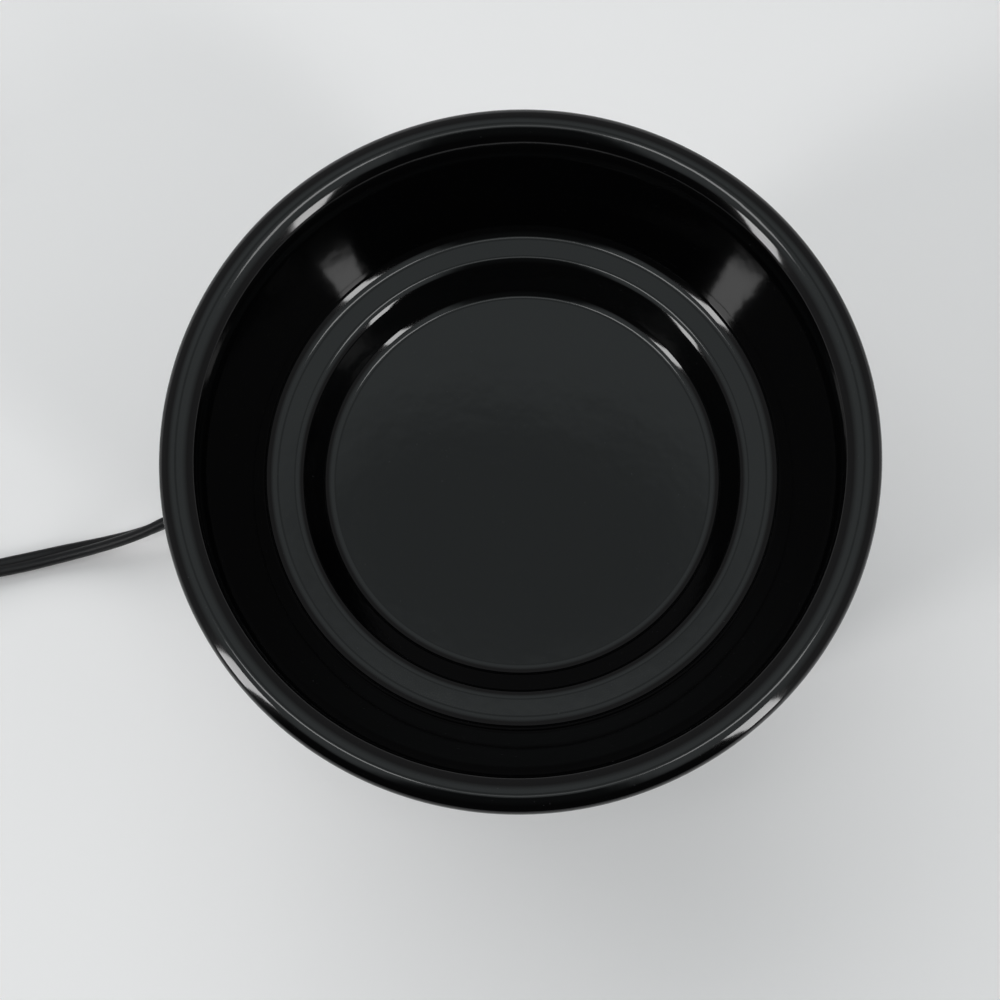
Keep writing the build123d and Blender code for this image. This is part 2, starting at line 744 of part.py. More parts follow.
# Fixed contacts on the floor of the switch: one post under the rocker's contact, one at the far end
button_edge = contact_reach + contact_button_radius
button_drop = button_edge * sin(rocker_lean) + contact_button_height - rocker_skirt
strike_z = rocker_pivot_height - button_drop - contact_gap
with BuildPart() as switch_contacts:
    with BuildSketch(Plane.XY.offset(switch_wall)):
        with Locations((switch_x + contact_reach, switch_y)):
            Rectangle(contact_length, contact_width)
        with Locations((switch_x - contact_reach, switch_y)):
            Rectangle(contact_length, contact_width)
    extrude(amount=contact_thickness)
    with BuildSketch(Plane.XY.offset(switch_wall)):
        with Locations((switch_x + contact_reach, switch_y)):
            Circle(contact_button_radius)
    extrude(amount=strike_z - switch_wall)
finish(switch_contacts.part, "switch_contacts")

with BuildPart() as switch_screws:
    with BuildSketch(Plane.XY.offset(screw_seat_z)):
        with Locations(*screw_places):
            Circle(switch_screw_head_radius)
    extrude(amount=-switch_screw_head)
    with BuildSketch(Plane.XY.offset(screw_seat_z)):
        with Locations(*screw_places):
            Circle(switch_screw_radius)
    extrude(amount=switch_top - switch_wall - screw_seat_z - fit_clearance)
finish(switch_screws.part, "switch_screws")

# Wires inside the switch: one conductor passes by, the other is cut and joined to the contacts
lobe = cord_width / 4
core_radius = lobe * 0.8
core_start = switch_wall + 2 * fit_clearance
core_rest_z = switch_wall + contact_thickness + core_radius + fit_clearance
pass_points = [
    (switch_near_x - core_start, switch_y, switch_split - lobe),
    (switch_near_x - core_start - 2, switch_y, switch_split - lobe),
    (switch_x + switch_screw_spread + 1.5, switch_y - 5.6, 4.6),
    (switch_x + 6, switch_y - 6, 3.2),
    (switch_x - 6, switch_y - 5.9, 3.2),
    (switch_x - switch_screw_spread - 1.5, switch_y - 5.6, 4.6),
    (switch_far_x + core_start + 2, switch_y, switch_split - lobe),
    (switch_far_x + core_start, switch_y, switch_split - lobe),
]
contact_end = contact_reach + contact_length / 2
with BuildPart() as switch_wires:
    with BuildLine() as pass_path:
        FilletPolyline(*pass_points, radius=bend_radii(pass_points))
    with BuildSketch(Plane(pass_path.line @ 0, z_dir=pass_path.line % 0)):
        RegularPolygon(core_radius, 6)
    sweep(path=pass_path.line)
    for end in (1, -1):
        cut_points = [
            (switch_x + end * (switch_length / 2 - core_start), switch_y, switch_split + lobe),
            (switch_x + end * (switch_length / 2 - core_start - 2), switch_y, switch_split + lobe),
            (switch_x + end * (switch_screw_spread + 1.5), switch_y + 5.6, 5.6),
            (switch_x + end * (contact_end + 1.5), switch_y + 4, 4.2),
            (switch_x + end * (contact_end - 1), switch_y + 1, core_rest_z),
        ]
        with BuildLine() as cut_path:
            FilletPolyline(*cut_points, radius=bend_radii(cut_points))
        with BuildSketch(Plane(cut_path.line @ 0, z_dir=cut_path.line % 0)):
            RegularPolygon(core_radius, 6)
        sweep(path=cut_path.line)
finish(switch_wires.part, "switch_wires")

# Lead on the table. Its points are chosen by hand; each bend is as wide as its runs allow.
coil_low_z = tie_thickness + tie_clearance + cord_width / 2
coil_rise = cord_width + layer_gap
coil_pitch = cord_thickness + coil_gap
coil_start = Vector(coil_x - coil_radius, coil_y, coil_low_z)
coil_end = coil_start + Vector(coil_pitch, 0, coil_rise)
plug_height = plug_face_height / 2
plug_back_x = plug_x - plug_tail_length
lead_points = [
    (boot_tip_x, 0, exit_height),
    (-76.5, 0, exit_height),
    (-83, -1.6, 12.3),
    (-90.5, -5.3, 9.5),
    (-100, -8.2, 5.8),
    (-110.5, -11.1, 3.2),
    (-122, -14.9, 2.6),
    (-134, -18.8, 3.9),
    (-144.5, -21.4, 6.4),
    (switch_near_x - switch_wall, switch_y, switch_split),
]
run_points = [
    (switch_far_x + switch_wall, switch_y, switch_split),
    (-216, -21.8, 6.7),
    (-228, -20, 4.6),
    (-243, -15, coil_low_z),
    (-254, -4, coil_low_z),
    (-260, 9, coil_low_z),
    (coil_start.X, 18, coil_low_z),
    (coil_start.X, coil_y, coil_low_z),
]
tail_points = [
    (coil_end.X, coil_end.Y, coil_end.Z),
    (coil_end.X, 34, coil_end.Z),
    (-259.2, 43.5, 8.8),
    (-257.3, 53.5, 7.4),
    (-251.8, 62.5, 6.0),
    (-244.5, 68.9, 5.7),
    (-237.5, 72.6, 6.6),
    (-231, plug_y, plug_height),
    (plug_back_x, plug_y, plug_height),
]
cord_area = cord_width * cord_thickness
with BuildPart() as cord_lead:
    with BuildLine() as lead_path:
        FilletPolyline(*lead_points, radius=bend_radii(lead_points))
    with BuildSketch(Plane(lead_path.line @ 0, x_dir=(0, 0, 1), z_dir=lead_path.line % 0)):
        Rectangle(cord_width, cord_thickness)
    sweep(path=lead_path.line)
finish(cord_lead.part, "cord_lead")

with BuildPart() as cord_run:
    with BuildLine() as run_path:
        FilletPolyline(*run_points, radius=bend_radii(run_points))
    with BuildSketch(Plane(run_path.line @ 0, x_dir=(0, 0, 1), z_dir=run_path.line % 0)):
        Rectangle(cord_width, cord_thickness)
    sweep(path=run_path.line)
finish(cord_run.part, "cord_run")

with BuildPart() as cord_tail:
    with BuildLine() as tail_path:
        FilletPolyline(*tail_points, radius=bend_radii(tail_points))
    with BuildSketch(Plane(tail_path.line @ 0, x_dir=(0, 0, 1), z_dir=tail_path.line % 0)):
        Rectangle(cord_width, cord_thickness)
    sweep(path=tail_path.line)
finish(cord_tail.part, "cord_tail")


def add_biarc(start, start_tangent, end, end_tangent):
    """Add two arcs that join two points and keep both tangents."""
    span = end - start
    tangent_sum = start_tangent + end_tangent
    spread = 2 * (1 - start_tangent.dot(end_tangent))
    along = span.dot(tangent_sum)
    reach = (sqrt(along**2 + spread * span.dot(span)) - along) / spread
    middle = (start + start_tangent * reach + end - end_tangent * reach) * 0.5
    first = TangentArc(start, middle, tangent=start_tangent)
    TangentArc(middle, end, tangent=first % 1)


# Coil: half turns that shrink on the lower layer, a half turn that climbs, and half turns that grow again
half_radii = [coil_radius - coil_pitch / 2 * half for half in range(coil_inward_halves)]
climb_radius = coil_radius - coil_pitch / 2 * coil_inward_halves
out_radii = [climb_radius + coil_pitch / 2 * half for half in range(1, coil_inward_halves)]
with BuildPart() as cord_coil:
    with BuildLine() as coil_path:
        here = coil_start
        side = 1
        for radius in half_radii:
            there = here + Vector(2 * radius * side, 0, 0)
            TangentArc(here, there, tangent=(0, side, 0))
            here = there
            side = -side
        middle = here + Vector(climb_radius * side, climb_radius * side, coil_rise / 2)
        there = here + Vector(2 * climb_radius * side, 0, coil_rise)
        climb_tangent = Vector(pi * climb_radius * side, 0, 2 * coil_rise).normalized()
        add_biarc(here, Vector(0, side, 0), middle, climb_tangent)
        add_biarc(middle, climb_tangent, there, Vector(0, -side, 0))
        here = there
        side = -side
        for radius in out_radii:
            there = here + Vector(2 * radius * side, 0, 0)
            TangentArc(here, there, tangent=(0, side, 0))
            here = there
            side = -side
    with BuildSketch(Plane(coil_start, x_dir=(0, 0, 1), z_dir=(0, 1, 0))):
        Rectangle(cord_width, cord_thickness)
    sweep(path=coil_path.line)
finish(cord_coil.part, "cord_coil")

# Strap that ties the coil at its side nearest the pot
tie_loops = (coil_inward_halves - 1) / 2
tie_inner_x = coil_start.X + 2 * coil_radius - tie_loops * coil_pitch - cord_thickness / 2 - tie_clearance
tie_outer_x = coil_start.X + 2 * coil_radius + cord_thickness / 2 + tie_clearance
tie_low_z = coil_low_z - cord_width / 2 - tie_clearance
tie_high_z = coil_low_z + coil_rise + cord_width / 2 + tie_clearance
with BuildPart() as cord_tie:
    with BuildSketch(Plane(((tie_inner_x + tie_outer_x) / 2, coil_y, (tie_low_z + tie_high_z) / 2), x_dir=(1, 0, 0),
                           z_dir=(0, -1, 0))):
        Rectangle(tie_outer_x - tie_inner_x + 2 * tie_thickness, tie_high_z - tie_low_z + 2 * tie_thickness)
        Rectangle(tie_outer_x - tie_inner_x, tie_high_z - tie_low_z, mode=Mode.SUBTRACT)
    extrude(amount=tie_length / 2, both=True)
finish(cord_tie.part, "cord_tie")

# Mains plug along +X: a moulded body that narrows to a round tail, with two flat blades
with BuildPart() as plug_body:
    with BuildSketch(Plane((plug_x, plug_y, plug_height), x_dir=(0, 1, 0), z_dir=(1, 0, 0))):
        Rectangle(plug_neck_width, plug_neck_height)
    with BuildSketch(Plane((plug_x + plug_body_length, plug_y, plug_height), x_dir=(0, 1, 0), z_dir=(1, 0, 0))):
        Rectangle(plug_face_width, plug_face_height)
    loft()
    chamfer(plug_body.edges().filter_by(Axis.Y, reverse=True).filter_by(Axis.Z, reverse=True), plug_edge)
    with BuildSketch(Plane((plug_x, plug_y, plug_height), x_dir=(0, 1, 0), z_dir=(-1, 0, 0))):
        Circle(plug_neck_height / 2)
    extrude(amount=plug_tail_length, taper=plug_tail_taper)
    with BuildSketch(Plane((plug_x + plug_body_length, plug_y, plug_height), x_dir=(0, 1, 0), z_dir=(-1, 0, 0))):
        with Locations((-blade_spacing / 2, 0), (blade_spacing / 2, 0)):
            Rectangle(blade_thickness + 2 * fit_clearance, blade_width + 2 * fit_clearance)
    extrude(amount=blade_root, mode=Mode.SUBTRACT)
finish(plug_body.part, "plug_body")

with BuildPart() as plug_blades:
    with BuildSketch(Plane((plug_x + plug_body_length - blade_root, plug_y, plug_height), x_dir=(0, 1, 0),
                           z_dir=(1, 0, 0))):
        with Locations((-blade_spacing / 2, 0), (blade_spacing / 2, 0)):
            Rectangle(blade_thickness, blade_width)
    extrude(amount=blade_root + blade_length)
    chamfer(plug_blades.faces().filter_by(Axis.X).sort_by(Axis.X)[-2:].edges().filter_by(Axis.Y), blade_tip_chamfer)
finish(plug_blades.part, "plug_blades")

# What the routes measure
report_route("live_wire", live_points, live_wire.part, wire_area)
report_route("link_wire", link_points, link_wire.part, wire_area)
report_route("neutral_wire", neutral_points, neutral_wire.part, wire_area)
report_route("cord_lead", lead_points, cord_lead.part, cord_area)
report_route("cord_run", run_points, cord_run.part, cord_area)
report_route("cord_tail", tail_points, cord_tail.part, cord_area)

coil_line = coil_path.wire()
coil_length = coil_line.length
coil_steps = 600
coil_points = [coil_line @ (step / coil_steps) for step in range(coil_steps + 1)]
clear_steps = int(coil_steps * 2 * climb_radius / coil_length)
least_gap = coil_length
for first in range(coil_steps + 1):
    for second in range(first + clear_steps, coil_steps + 1):
        apart = coil_points[second] - coil_points[first]
        beside = max(hypot(apart.X, apart.Y) - cord_thickness, 0)
        above = max(abs(apart.Z) - cord_width, 0)
        least_gap = min(least_gap, hypot(beside, above))
print("cord_coil length", round(coil_length, 1), "volume share", round(cord_coil.part.volume / (cord_area * coil_length), 4))
print("cord_coil least gap to itself", round(least_gap, 2))
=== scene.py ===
"""A wax melt warmer in black glaze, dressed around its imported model."""

import logging
import math
from dataclasses import dataclass
from enum import Enum, IntEnum
from functools import cache
from typing import Sequence

import bmesh
import bpy
from mathutils import Matrix, Vector


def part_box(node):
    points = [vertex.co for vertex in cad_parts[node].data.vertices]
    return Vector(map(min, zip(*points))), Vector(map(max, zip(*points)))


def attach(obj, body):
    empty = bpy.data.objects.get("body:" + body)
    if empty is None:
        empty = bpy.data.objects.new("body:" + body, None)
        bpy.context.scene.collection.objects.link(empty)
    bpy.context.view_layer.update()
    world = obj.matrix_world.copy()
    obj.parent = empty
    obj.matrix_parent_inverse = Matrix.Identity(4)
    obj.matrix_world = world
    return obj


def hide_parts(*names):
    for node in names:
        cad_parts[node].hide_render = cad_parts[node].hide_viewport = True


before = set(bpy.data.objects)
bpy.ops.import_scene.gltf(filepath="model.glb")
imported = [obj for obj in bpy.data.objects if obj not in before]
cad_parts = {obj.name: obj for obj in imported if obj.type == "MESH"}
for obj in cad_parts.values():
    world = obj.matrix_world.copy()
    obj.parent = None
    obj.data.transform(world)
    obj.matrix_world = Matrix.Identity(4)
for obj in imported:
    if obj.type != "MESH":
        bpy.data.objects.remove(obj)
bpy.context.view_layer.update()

LOG = logging.getLogger("wax_warmer")
MM = 0.001
MERGE_DISTANCE = 0.02 * MM
LEVEL_SLACK = 0.001 * MM
FLAT_MARGIN = 0.12 * MM
FLAT_LEAST = 8.0 * FLAT_MARGIN
SHARP_ANGLE = math.radians(40.0)
SOFT_ANGLE = math.radians(60.0)
RISE, FALL = (0.0, 1.0), (1.0, 0.0)
WESTWARD = Matrix.Rotation(math.radians(-90.0), 4, "Y")

# Short names for the types that most functions take
Piece = bpy.types.Object
Mesh = bmesh.types.BMesh
Vert = bmesh.types.BMVert
Edge = bmesh.types.BMEdge
Socket = bpy.types.NodeSocket
Point = tuple[float, float, float]
Colour = tuple[float, float, float]
Pair = tuple[float, float]
Corner = tuple[Pair, float]


class Body(Enum):
    """The bodies that a piece can ride on."""

    WARMER = "warmer"
    DISH = "dish"
    ROCKER = "rocker"


class Shading(Enum):
    """How a turned or moulded piece gets its normals."""

    SMOOTH = "smooth"
    WEIGHTED = "weighted"
    CRISP = "crisp"


class Rounding(Enum):
    """What a bevel rounds: the corners of a drawn line, or the edges of a mesh."""

    CORNERS = "VERTICES"
    EDGES = "EDGES"


class Axis(IntEnum):
    """The axes of the shared frame."""

    X = 0
    Y = 1
    Z = 2


def place_object(name: str, data: bpy.types.ID) -> Piece:
    """Make an object at the origin and put it in the scene.

    Args:
        name: Name of the new object.
        data: Its mesh, curve, light or camera.

    Returns:
        The new object.
    """
    item = bpy.data.objects.new(name, data)
    bpy.context.scene.collection.objects.link(item)
    return item


def evaluated_mesh(item: Piece) -> bpy.types.Mesh:
    """Make a mesh of an object as its modifiers or its bevel leave it."""
    bpy.context.view_layer.update()
    return bpy.data.meshes.new_from_object(item.evaluated_get(bpy.context.evaluated_depsgraph_get()))


def settle(piece: Piece, shading: Shading) -> None:
    """Set how a piece's faces are shaded.

    Args:
        piece: The piece, whose faces are all made smooth.
        shading: Smooth all over, smooth with large faces kept flat, or smooth with sharp edges kept.
    """
    for polygon in piece.data.polygons:
        polygon.use_smooth = True
    if shading is Shading.CRISP:
        piece.data.set_sharp_from_angle(angle=SHARP_ANGLE)
    if shading is Shading.WEIGHTED:
        weighted = piece.modifiers.new("Flat faces", "WEIGHTED_NORMAL")
        weighted.mode = "FACE_AREA"
        weighted.weight = 80
        weighted.keep_sharp = True


def soften(piece: Piece, width: float, segments: int) -> None:
    """Round a piece's sharp edges and keep its large faces flat.

    Args:
        piece: The piece.
        width: How far the rounding reaches from each edge.
        segments: Faces across it.
    """
    soft = piece.modifiers.new("Soft edges", "BEVEL")
    soft.width = width
    soft.segments = segments
    soft.limit_method = "ANGLE"
    soft.angle_limit = SOFT_ANGLE
    settle(piece, Shading.WEIGHTED)


def link_mesh(bm: Mesh, name: str, shading: Shading = Shading.SMOOTH) -> Piece:
    """Turn a finished bmesh into an object at the origin.

    Args:
        bm: The mesh, which is freed.
        name: Name of the new object.
        shading: How its faces are shaded.

    Returns:
        The new object.
    """
    bmesh.ops.remove_doubles(bm, verts=bm.verts[:], dist=MERGE_DISTANCE)
    bmesh.ops.recalc_face_normals(bm, faces=bm.faces[:])
    mesh = bpy.data.meshes.new(name)
    bm.to_mesh(mesh)
    bm.free()
    piece = place_object(name, mesh)
    settle(piece, shading)
    return piece


def draw_profile(bm: Mesh, corners: Sequence[Pair]) -> list[Vert]:
    """Draw a half section as a chain of edges in the XZ plane.

    Args:
        bm: The mesh to draw in.
        corners: Radius and height of each corner, in order.

    Returns:
        The new vertices, in order.
    """
    verts = [bm.verts.new((radius, 0.0, height)) for radius, height in corners]
    for first, second in zip(verts, verts[1:]):
        bm.edges.new((first, second))
    return verts


def bevel(
    bm: Mesh, items: Sequence[Vert | Edge], width: float, segments: int, rounding: Rounding = Rounding.EDGES
) -> None:
    """Round some corners or edges.

    Args:
        bm: The mesh.
        items: The corners or edges to round.
        width: How far the rounding reaches from each.
        segments: Straight pieces or faces across it.
        rounding: Whether corners or edges are rounded.
    """
    bmesh.ops.bevel(
        bm, geom=list(items), offset=width, offset_type="OFFSET", segments=segments, profile=0.5,
        affect=rounding.value, material=-1,
    )


def round_corner(bm: Mesh, vert: Vert, radius: float, segments: int) -> None:
    """Round one corner of a drawn profile to an arc.

    Args:
        bm: The mesh that holds the profile.
        vert: The corner, which has two edges.
        radius: Radius of the arc.
        segments: Straight pieces in the arc.
    """
    sides = [(edge.other_vert(vert).co - vert.co).normalized() for edge in vert.link_edges]
    inside = sides[0].angle(sides[1])
    bevel(bm, [vert], radius / math.tan(inside / 2.0), segments, Rounding.CORNERS)


def spin_profile(bm: Mesh, steps: int) -> None:
    """Spin everything drawn in a bmesh once round the Z axis.

    Long edges are split near their ends first, so that flat runs stay flat when shaded smooth.

    Args:
        bm: The mesh that holds the profile.
        steps: Number of steps in the turn.
    """
    for edge in [edge for edge in bm.edges if edge.calc_length() > FLAT_LEAST]:
        for vert in edge.verts[:]:
            bmesh.utils.edge_split(edge, vert, FLAT_MARGIN / edge.calc_length())
    bmesh.ops.spin(
        bm, geom=bm.verts[:] + bm.edges[:], cent=(0.0, 0.0, 0.0), axis=(0.0, 0.0, 1.0), angle=math.tau,
        steps=steps, use_merge=True,
    )


def turn_section(
    corners: Sequence[Corner], segments: int, steps: int, lay: Matrix = Matrix.Identity(4)
) -> Mesh:
    """Draw a section, round its corners, spin it round the Z axis and lay it in its place.

    Args:
        corners: Radius and height of each corner, with the radius that rounds it.
        segments: Straight pieces in each arc.
        steps: Number of steps in the turn.
        lay: How it is turned and moved then.

    Returns:
        The turned mesh.
    """
    bm = bmesh.new()
    verts = draw_profile(bm, [place for place, radius in corners])
    for vert, (place, radius) in zip(verts, corners):
        if radius > 0.0:
            round_corner(bm, vert, radius, segments)
    spin_profile(bm, steps)
    bmesh.ops.transform(bm, matrix=lay, verts=bm.verts[:])
    return bm


def edges_along(bm: Mesh, axis: Axis, least: float) -> list[Edge]:
    """List the edges that run further than a least length along one axis."""
    return [edge for edge in bm.edges if abs(edge.verts[0].co[axis] - edge.verts[1].co[axis]) > least]


def edges_at(bm: Mesh, axis: Axis, place: float) -> list[Edge]:
    """List the edges that lie at one place on an axis."""
    return [edge for edge in bm.edges if all(abs(vert.co[axis] - place) < LEVEL_SLACK for vert in edge.verts)]


def verts_in(items: Sequence[Vert | Edge | bmesh.types.BMFace]) -> list[Vert]:
    """List the vertices among a mesh's elements."""
    return [item for item in items if isinstance(item, Vert)]


def rounded_box(low: Vector, high: Vector, axis: Axis, corner: float, segments: int) -> Mesh:
    """Make a box whose four edges along one axis are rounded.

    Args:
        low: Lowest corner.
        high: Highest corner.
        axis: The axis that the rounded edges run along.
        corner: Radius of their rounding.
        segments: Faces across each.

    Returns:
        The box's mesh.
    """
    bm = bmesh.new()
    size = high - low
    place = Matrix.Translation((low + high) / 2.0) @ Matrix.Diagonal((*size, 1.0))
    bmesh.ops.create_cube(bm, size=1.0, matrix=place)
    bevel(bm, edges_along(bm, axis, size[axis] / 2.0), corner, segments)
    return bm


def cut_away(piece: Piece, cutter: Piece) -> None:
    """Cut one closed shape out of another and drop the cutter.

    Args:
        piece: The shape to cut.
        cutter: The shape to take away from it.
    """
    cut = piece.modifiers.new("Cut", "BOOLEAN")
    cut.operation = "DIFFERENCE"
    cut.solver = "EXACT"
    cut.object = cutter
    mesh = evaluated_mesh(piece)
    piece.modifiers.clear()
    piece.data = mesh
    bpy.data.objects.remove(cutter)


@dataclass
class NodeSheet:
    """A node tree, with short ways to add to it."""

    tree: bpy.types.NodeTree

    def feed(self, target: Socket, value: object) -> None:
        """Link a signal to an input, or set the input's value.

        Args:
            target: The input.
            value: An output to link, or a constant.
        """
        if isinstance(value, Socket):
            self.tree.links.new(value, target)
        else:
            target.default_value = value

    def fill(self, node: bpy.types.Node, values: dict[str, object]) -> None:
        """Feed a node's inputs, by name with underscores for spaces."""
        for label, value in values.items():
            self.feed(node.inputs[label.replace("_", " ")], value)

    def add(self, kind: str, *inputs: object, operation: str = "", **values: object) -> bpy.types.Node:
        """Add a node and feed its inputs.

        Args:
            kind: Blender's name for the node type.
            inputs: Signals or constants for the first inputs, in order.
            operation: Blender's name for what a maths node does.
            values: Signals or constants by name, with underscores for spaces.

        Returns:
            The new node.
        """
        node = self.tree.nodes.new(kind)
        if operation:
            node.operation = operation
        for target, value in zip(node.inputs, inputs):
            self.feed(target, value)
        self.fill(node, values)
        return node

    def ramp(self, source: Socket, positions: Sequence[float], colours: Sequence[Colour]) -> Socket:
        """Add a colour ramp.

        Args:
            source: What drives the ramp.
            positions: Position of each stop, in order.
            colours: Colour of each stop.

        Returns:
            The ramp's colour.
        """
        ramp = self.add("ShaderNodeValToRGB", source)
        elements = ramp.color_ramp.elements
        while len(elements) < len(positions):
            elements.new(1.0)
        for element, position, colour in zip(elements, positions, colours):
            element.position = position
            element.color = (*colour, 1.0)
        return ramp.outputs["Color"]

    def span(self, source: Socket, after: Pair, before: Pair = RISE, smooth: bool = False) -> Socket:
        """Map a signal from one range to another.

        Args:
            source: The signal.
            after: Its values at the ends of the new range.
            before: Its values at the ends of the old range.
            smooth: Whether it leaves and reaches the ends gently.

        Returns:
            The mapped output, held at the ends.
        """
        node = self.add("ShaderNodeMapRange", source, *before, *after)
        node.interpolation_type = "SMOOTHSTEP" if smooth else "LINEAR"
        return node.outputs["Result"]

    def rise(self, source: Socket, limits: Pair) -> Socket:
        """Ease a signal from 0 to 1 between two values."""
        return self.span(source, RISE, limits, smooth=True)

    def fall(self, source: Socket, limits: Pair) -> Socket:
        """Ease a signal from 1 to 0 between two values."""
        return self.span(source, FALL, limits, smooth=True)

    def fold(self, operation: str, *signals: Socket) -> Socket:
        """Combine signals in turn.

        Args:
            operation: Blender's name for the operation.
            signals: One signal or more.

        Returns:
            The combined output.
        """
        result = signals[0]
        for signal in signals[1:]:
            result = self.add("ShaderNodeMath", result, signal, operation=operation).outputs["Value"]
        return result

    def vector(self, operation: str, *vectors: Socket | Point, output: str = "Vector") -> Socket:
        """Work on one or two vectors with one of Blender's operations."""
        return self.add("ShaderNodeVectorMath", *vectors, operation=operation).outputs[output]


class MaterialSheet(NodeSheet):
    """The node tree of a new material."""

    def __init__(self, name: str) -> None:
        """Make the material and find its shader.

        Args:
            name: The material's name.
        """
        self.material = bpy.data.materials.new(name)
        self.material.use_nodes = True
        super().__init__(self.material.node_tree)
        self.shader = self.tree.nodes["Principled BSDF"]

    def paint(self, **values: object) -> None:
        """Feed the shader's inputs, by name with underscores for spaces."""
        self.fill(self.shader, values)

    def place(self) -> Socket:
        """Return the Object coordinates."""
        return self.add("ShaderNodeTexCoord").outputs["Object"]

    def noise(self, scale: float, detail: float = 2.0, stretch: Point = (1.0, 1.0, 1.0)) -> Socket:
        """Add noise on Object coordinates, of so many features per metre, denser along stretched axes."""
        place = self.add("ShaderNodeMapping", Vector=self.place(), Scale=stretch).outputs["Vector"]
        return self.add("ShaderNodeTexNoise", Vector=place, Scale=scale, Detail=detail).outputs["Fac"]

    def bump(self, height: Socket, strength: float, distance: float) -> Socket:
        """Return the normals of a relief, whose signal is multiplied by a distance in metres."""
        node = self.add("ShaderNodeBump", Height=height, Strength=strength, Distance=distance)
        return node.outputs["Normal"]


@dataclass(frozen=True)
class Glaze:
    """Black gloss glaze with a faint ripple and a little dust."""

    name: str
    swell_height: float = 0.16 * MM
    crease_height: float = 0.05 * MM
    dark: Colour = (0.0008, 0.0008, 0.0009)
    dust: Colour = (0.020, 0.020, 0.021)
    dust_range: Pair = (0.76, 0.82)
    rough: Pair = (0.06, 0.10)
    dust_scale: float = 2600.0
    rough_scale: float = 45.0
    swell_scale: float = 38.0
    crease_scale: float = 170.0
    relief: float = 0.6

    @cache
    def material(self) -> bpy.types.Material:
        """Make the glaze's material, once.

        Returns:
            The material.
        """
        sheet = MaterialSheet(self.name)
        dust = sheet.noise(self.dust_scale, detail=1.0)
        swell = sheet.span(sheet.noise(self.swell_scale, detail=1.0), (0.0, self.swell_height))
        crease = sheet.span(sheet.noise(self.crease_scale), (0.0, self.crease_height))
        sheet.paint(
            Base_Color=sheet.ramp(dust, self.dust_range, (self.dark, self.dust)),
            Roughness=sheet.span(sheet.noise(self.rough_scale, detail=3.0), self.rough),
            Normal=sheet.bump(sheet.fold("ADD", swell, crease), self.relief, distance=1.0),
        )
        return sheet.material


@dataclass(frozen=True)
class Moulding:
    """Moulded plastic or rubber: a grey skin, at times a little blue, with a fine grain."""

    name: str
    dark: float
    pale: float
    rough: Pair
    blue: float = 0.0
    grain_scale: float = 1800.0
    grain_height: float = 0.04 * MM
    shine: float = 0.5
    cloud_scale: float = 70.0
    cloud_range: Pair = (0.35, 0.75)
    relief: float = 0.4

    @cache
    def material(self) -> bpy.types.Material:
        """Make the moulding's material, once.

        Returns:
            The material.
        """
        sheet = MaterialSheet(self.name)
        clouds = sheet.noise(self.cloud_scale, detail=4.0)
        colours = [(level, level, level + self.blue) for level in (self.dark, self.pale)]
        sheet.paint(
            Specular_IOR_Level=self.shine,
            Base_Color=sheet.ramp(clouds, self.cloud_range, colours),
            Roughness=sheet.span(clouds, self.rough),
            Normal=sheet.bump(sheet.noise(self.grain_scale), self.relief, self.grain_height),
        )
        return sheet.material


@dataclass(frozen=True)
class BareMetal:
    """Drawn or rolled metal with fine lines along one axis."""

    name: str
    dark: Colour
    pale: Colour
    gloss: float
    gloss_spread: Pair = (0.8, 1.25)
    stretch: Point = (1.0, 40.0, 1.0)
    line_scale: float = 90.0
    line_range: Pair = (0.3, 0.7)
    line_height: float = 0.03 * MM
    relief: float = 0.2

    @cache
    def material(self) -> bpy.types.Material:
        """Make the metal's material, once.

        Returns:
            The material.
        """
        sheet = MaterialSheet(self.name)
        lines = sheet.noise(self.line_scale, 3.0, self.stretch)
        low, high = self.gloss_spread
        sheet.paint(
            Metallic=1.0,
            Base_Color=sheet.ramp(lines, self.line_range, (self.dark, self.pale)),
            Roughness=sheet.span(lines, (self.gloss * low, self.gloss * high)),
            Normal=sheet.bump(lines, self.relief, self.line_height),
        )
        return sheet.material


@dataclass(frozen=True)
class Mineral:
    """Mica sheet, fired ceramic or glass braid: a pale, flecked, dry surface."""

    name: str
    ground: Colour
    fleck: Colour
    fleck_scale: float
    dryness: float
    fleck_range: Pair = (0.15, 0.6)
    fleck_height: float = 0.06 * MM
    relief: float = 0.3

    @cache
    def material(self) -> bpy.types.Material:
        """Make the mineral's material, once.

        Returns:
            The material.
        """
        sheet = MaterialSheet(self.name)
        flecks = sheet.add("ShaderNodeTexVoronoi", Vector=sheet.place(), Scale=self.fleck_scale)
        distance = flecks.outputs["Distance"]
        sheet.paint(
            Roughness=self.dryness,
            Base_Color=sheet.ramp(distance, self.fleck_range, (self.fleck, self.ground)),
            Normal=sheet.bump(distance, self.relief, self.fleck_height),
        )
        return sheet.material


Finish = Glaze | Moulding | BareMetal | Mineral

DISH_GLAZE = Glaze("dish_glaze")
POT_GLAZE = Glaze("pot_glaze", swell_height=0.2 * MM)
LEAD_SKIN = Moulding("lead_skin", 0.004, 0.007, (0.40, 0.52), 0.0005, 900.0, 0.03 * MM, shine=0.3)
BOOT_RUBBER = Moulding("boot_rubber", 0.011, 0.018, (0.45, 0.6), 0.001)
PLUG_RUBBER = Moulding("plug_rubber", 0.012, 0.018, (0.4, 0.52), 0.001, 1200.0, 0.03 * MM)
SWITCH_PLASTIC = Moulding("switch_plastic", 0.013, 0.019, (0.38, 0.5), 0.001)
ROCKER_PLASTIC = Moulding("rocker_plastic", 0.010, 0.014, (0.16, 0.24), 0.001, 900.0, 0.01 * MM)
BASE_PLASTIC = Moulding("base_plastic", 0.016, 0.024, (0.5, 0.65))
FOOT_RUBBER = Moulding("foot_rubber", 0.024, 0.036, (0.7, 0.85))
SEAL_RUBBER = Moulding("seal_rubber", 0.020, 0.030, (0.6, 0.75))
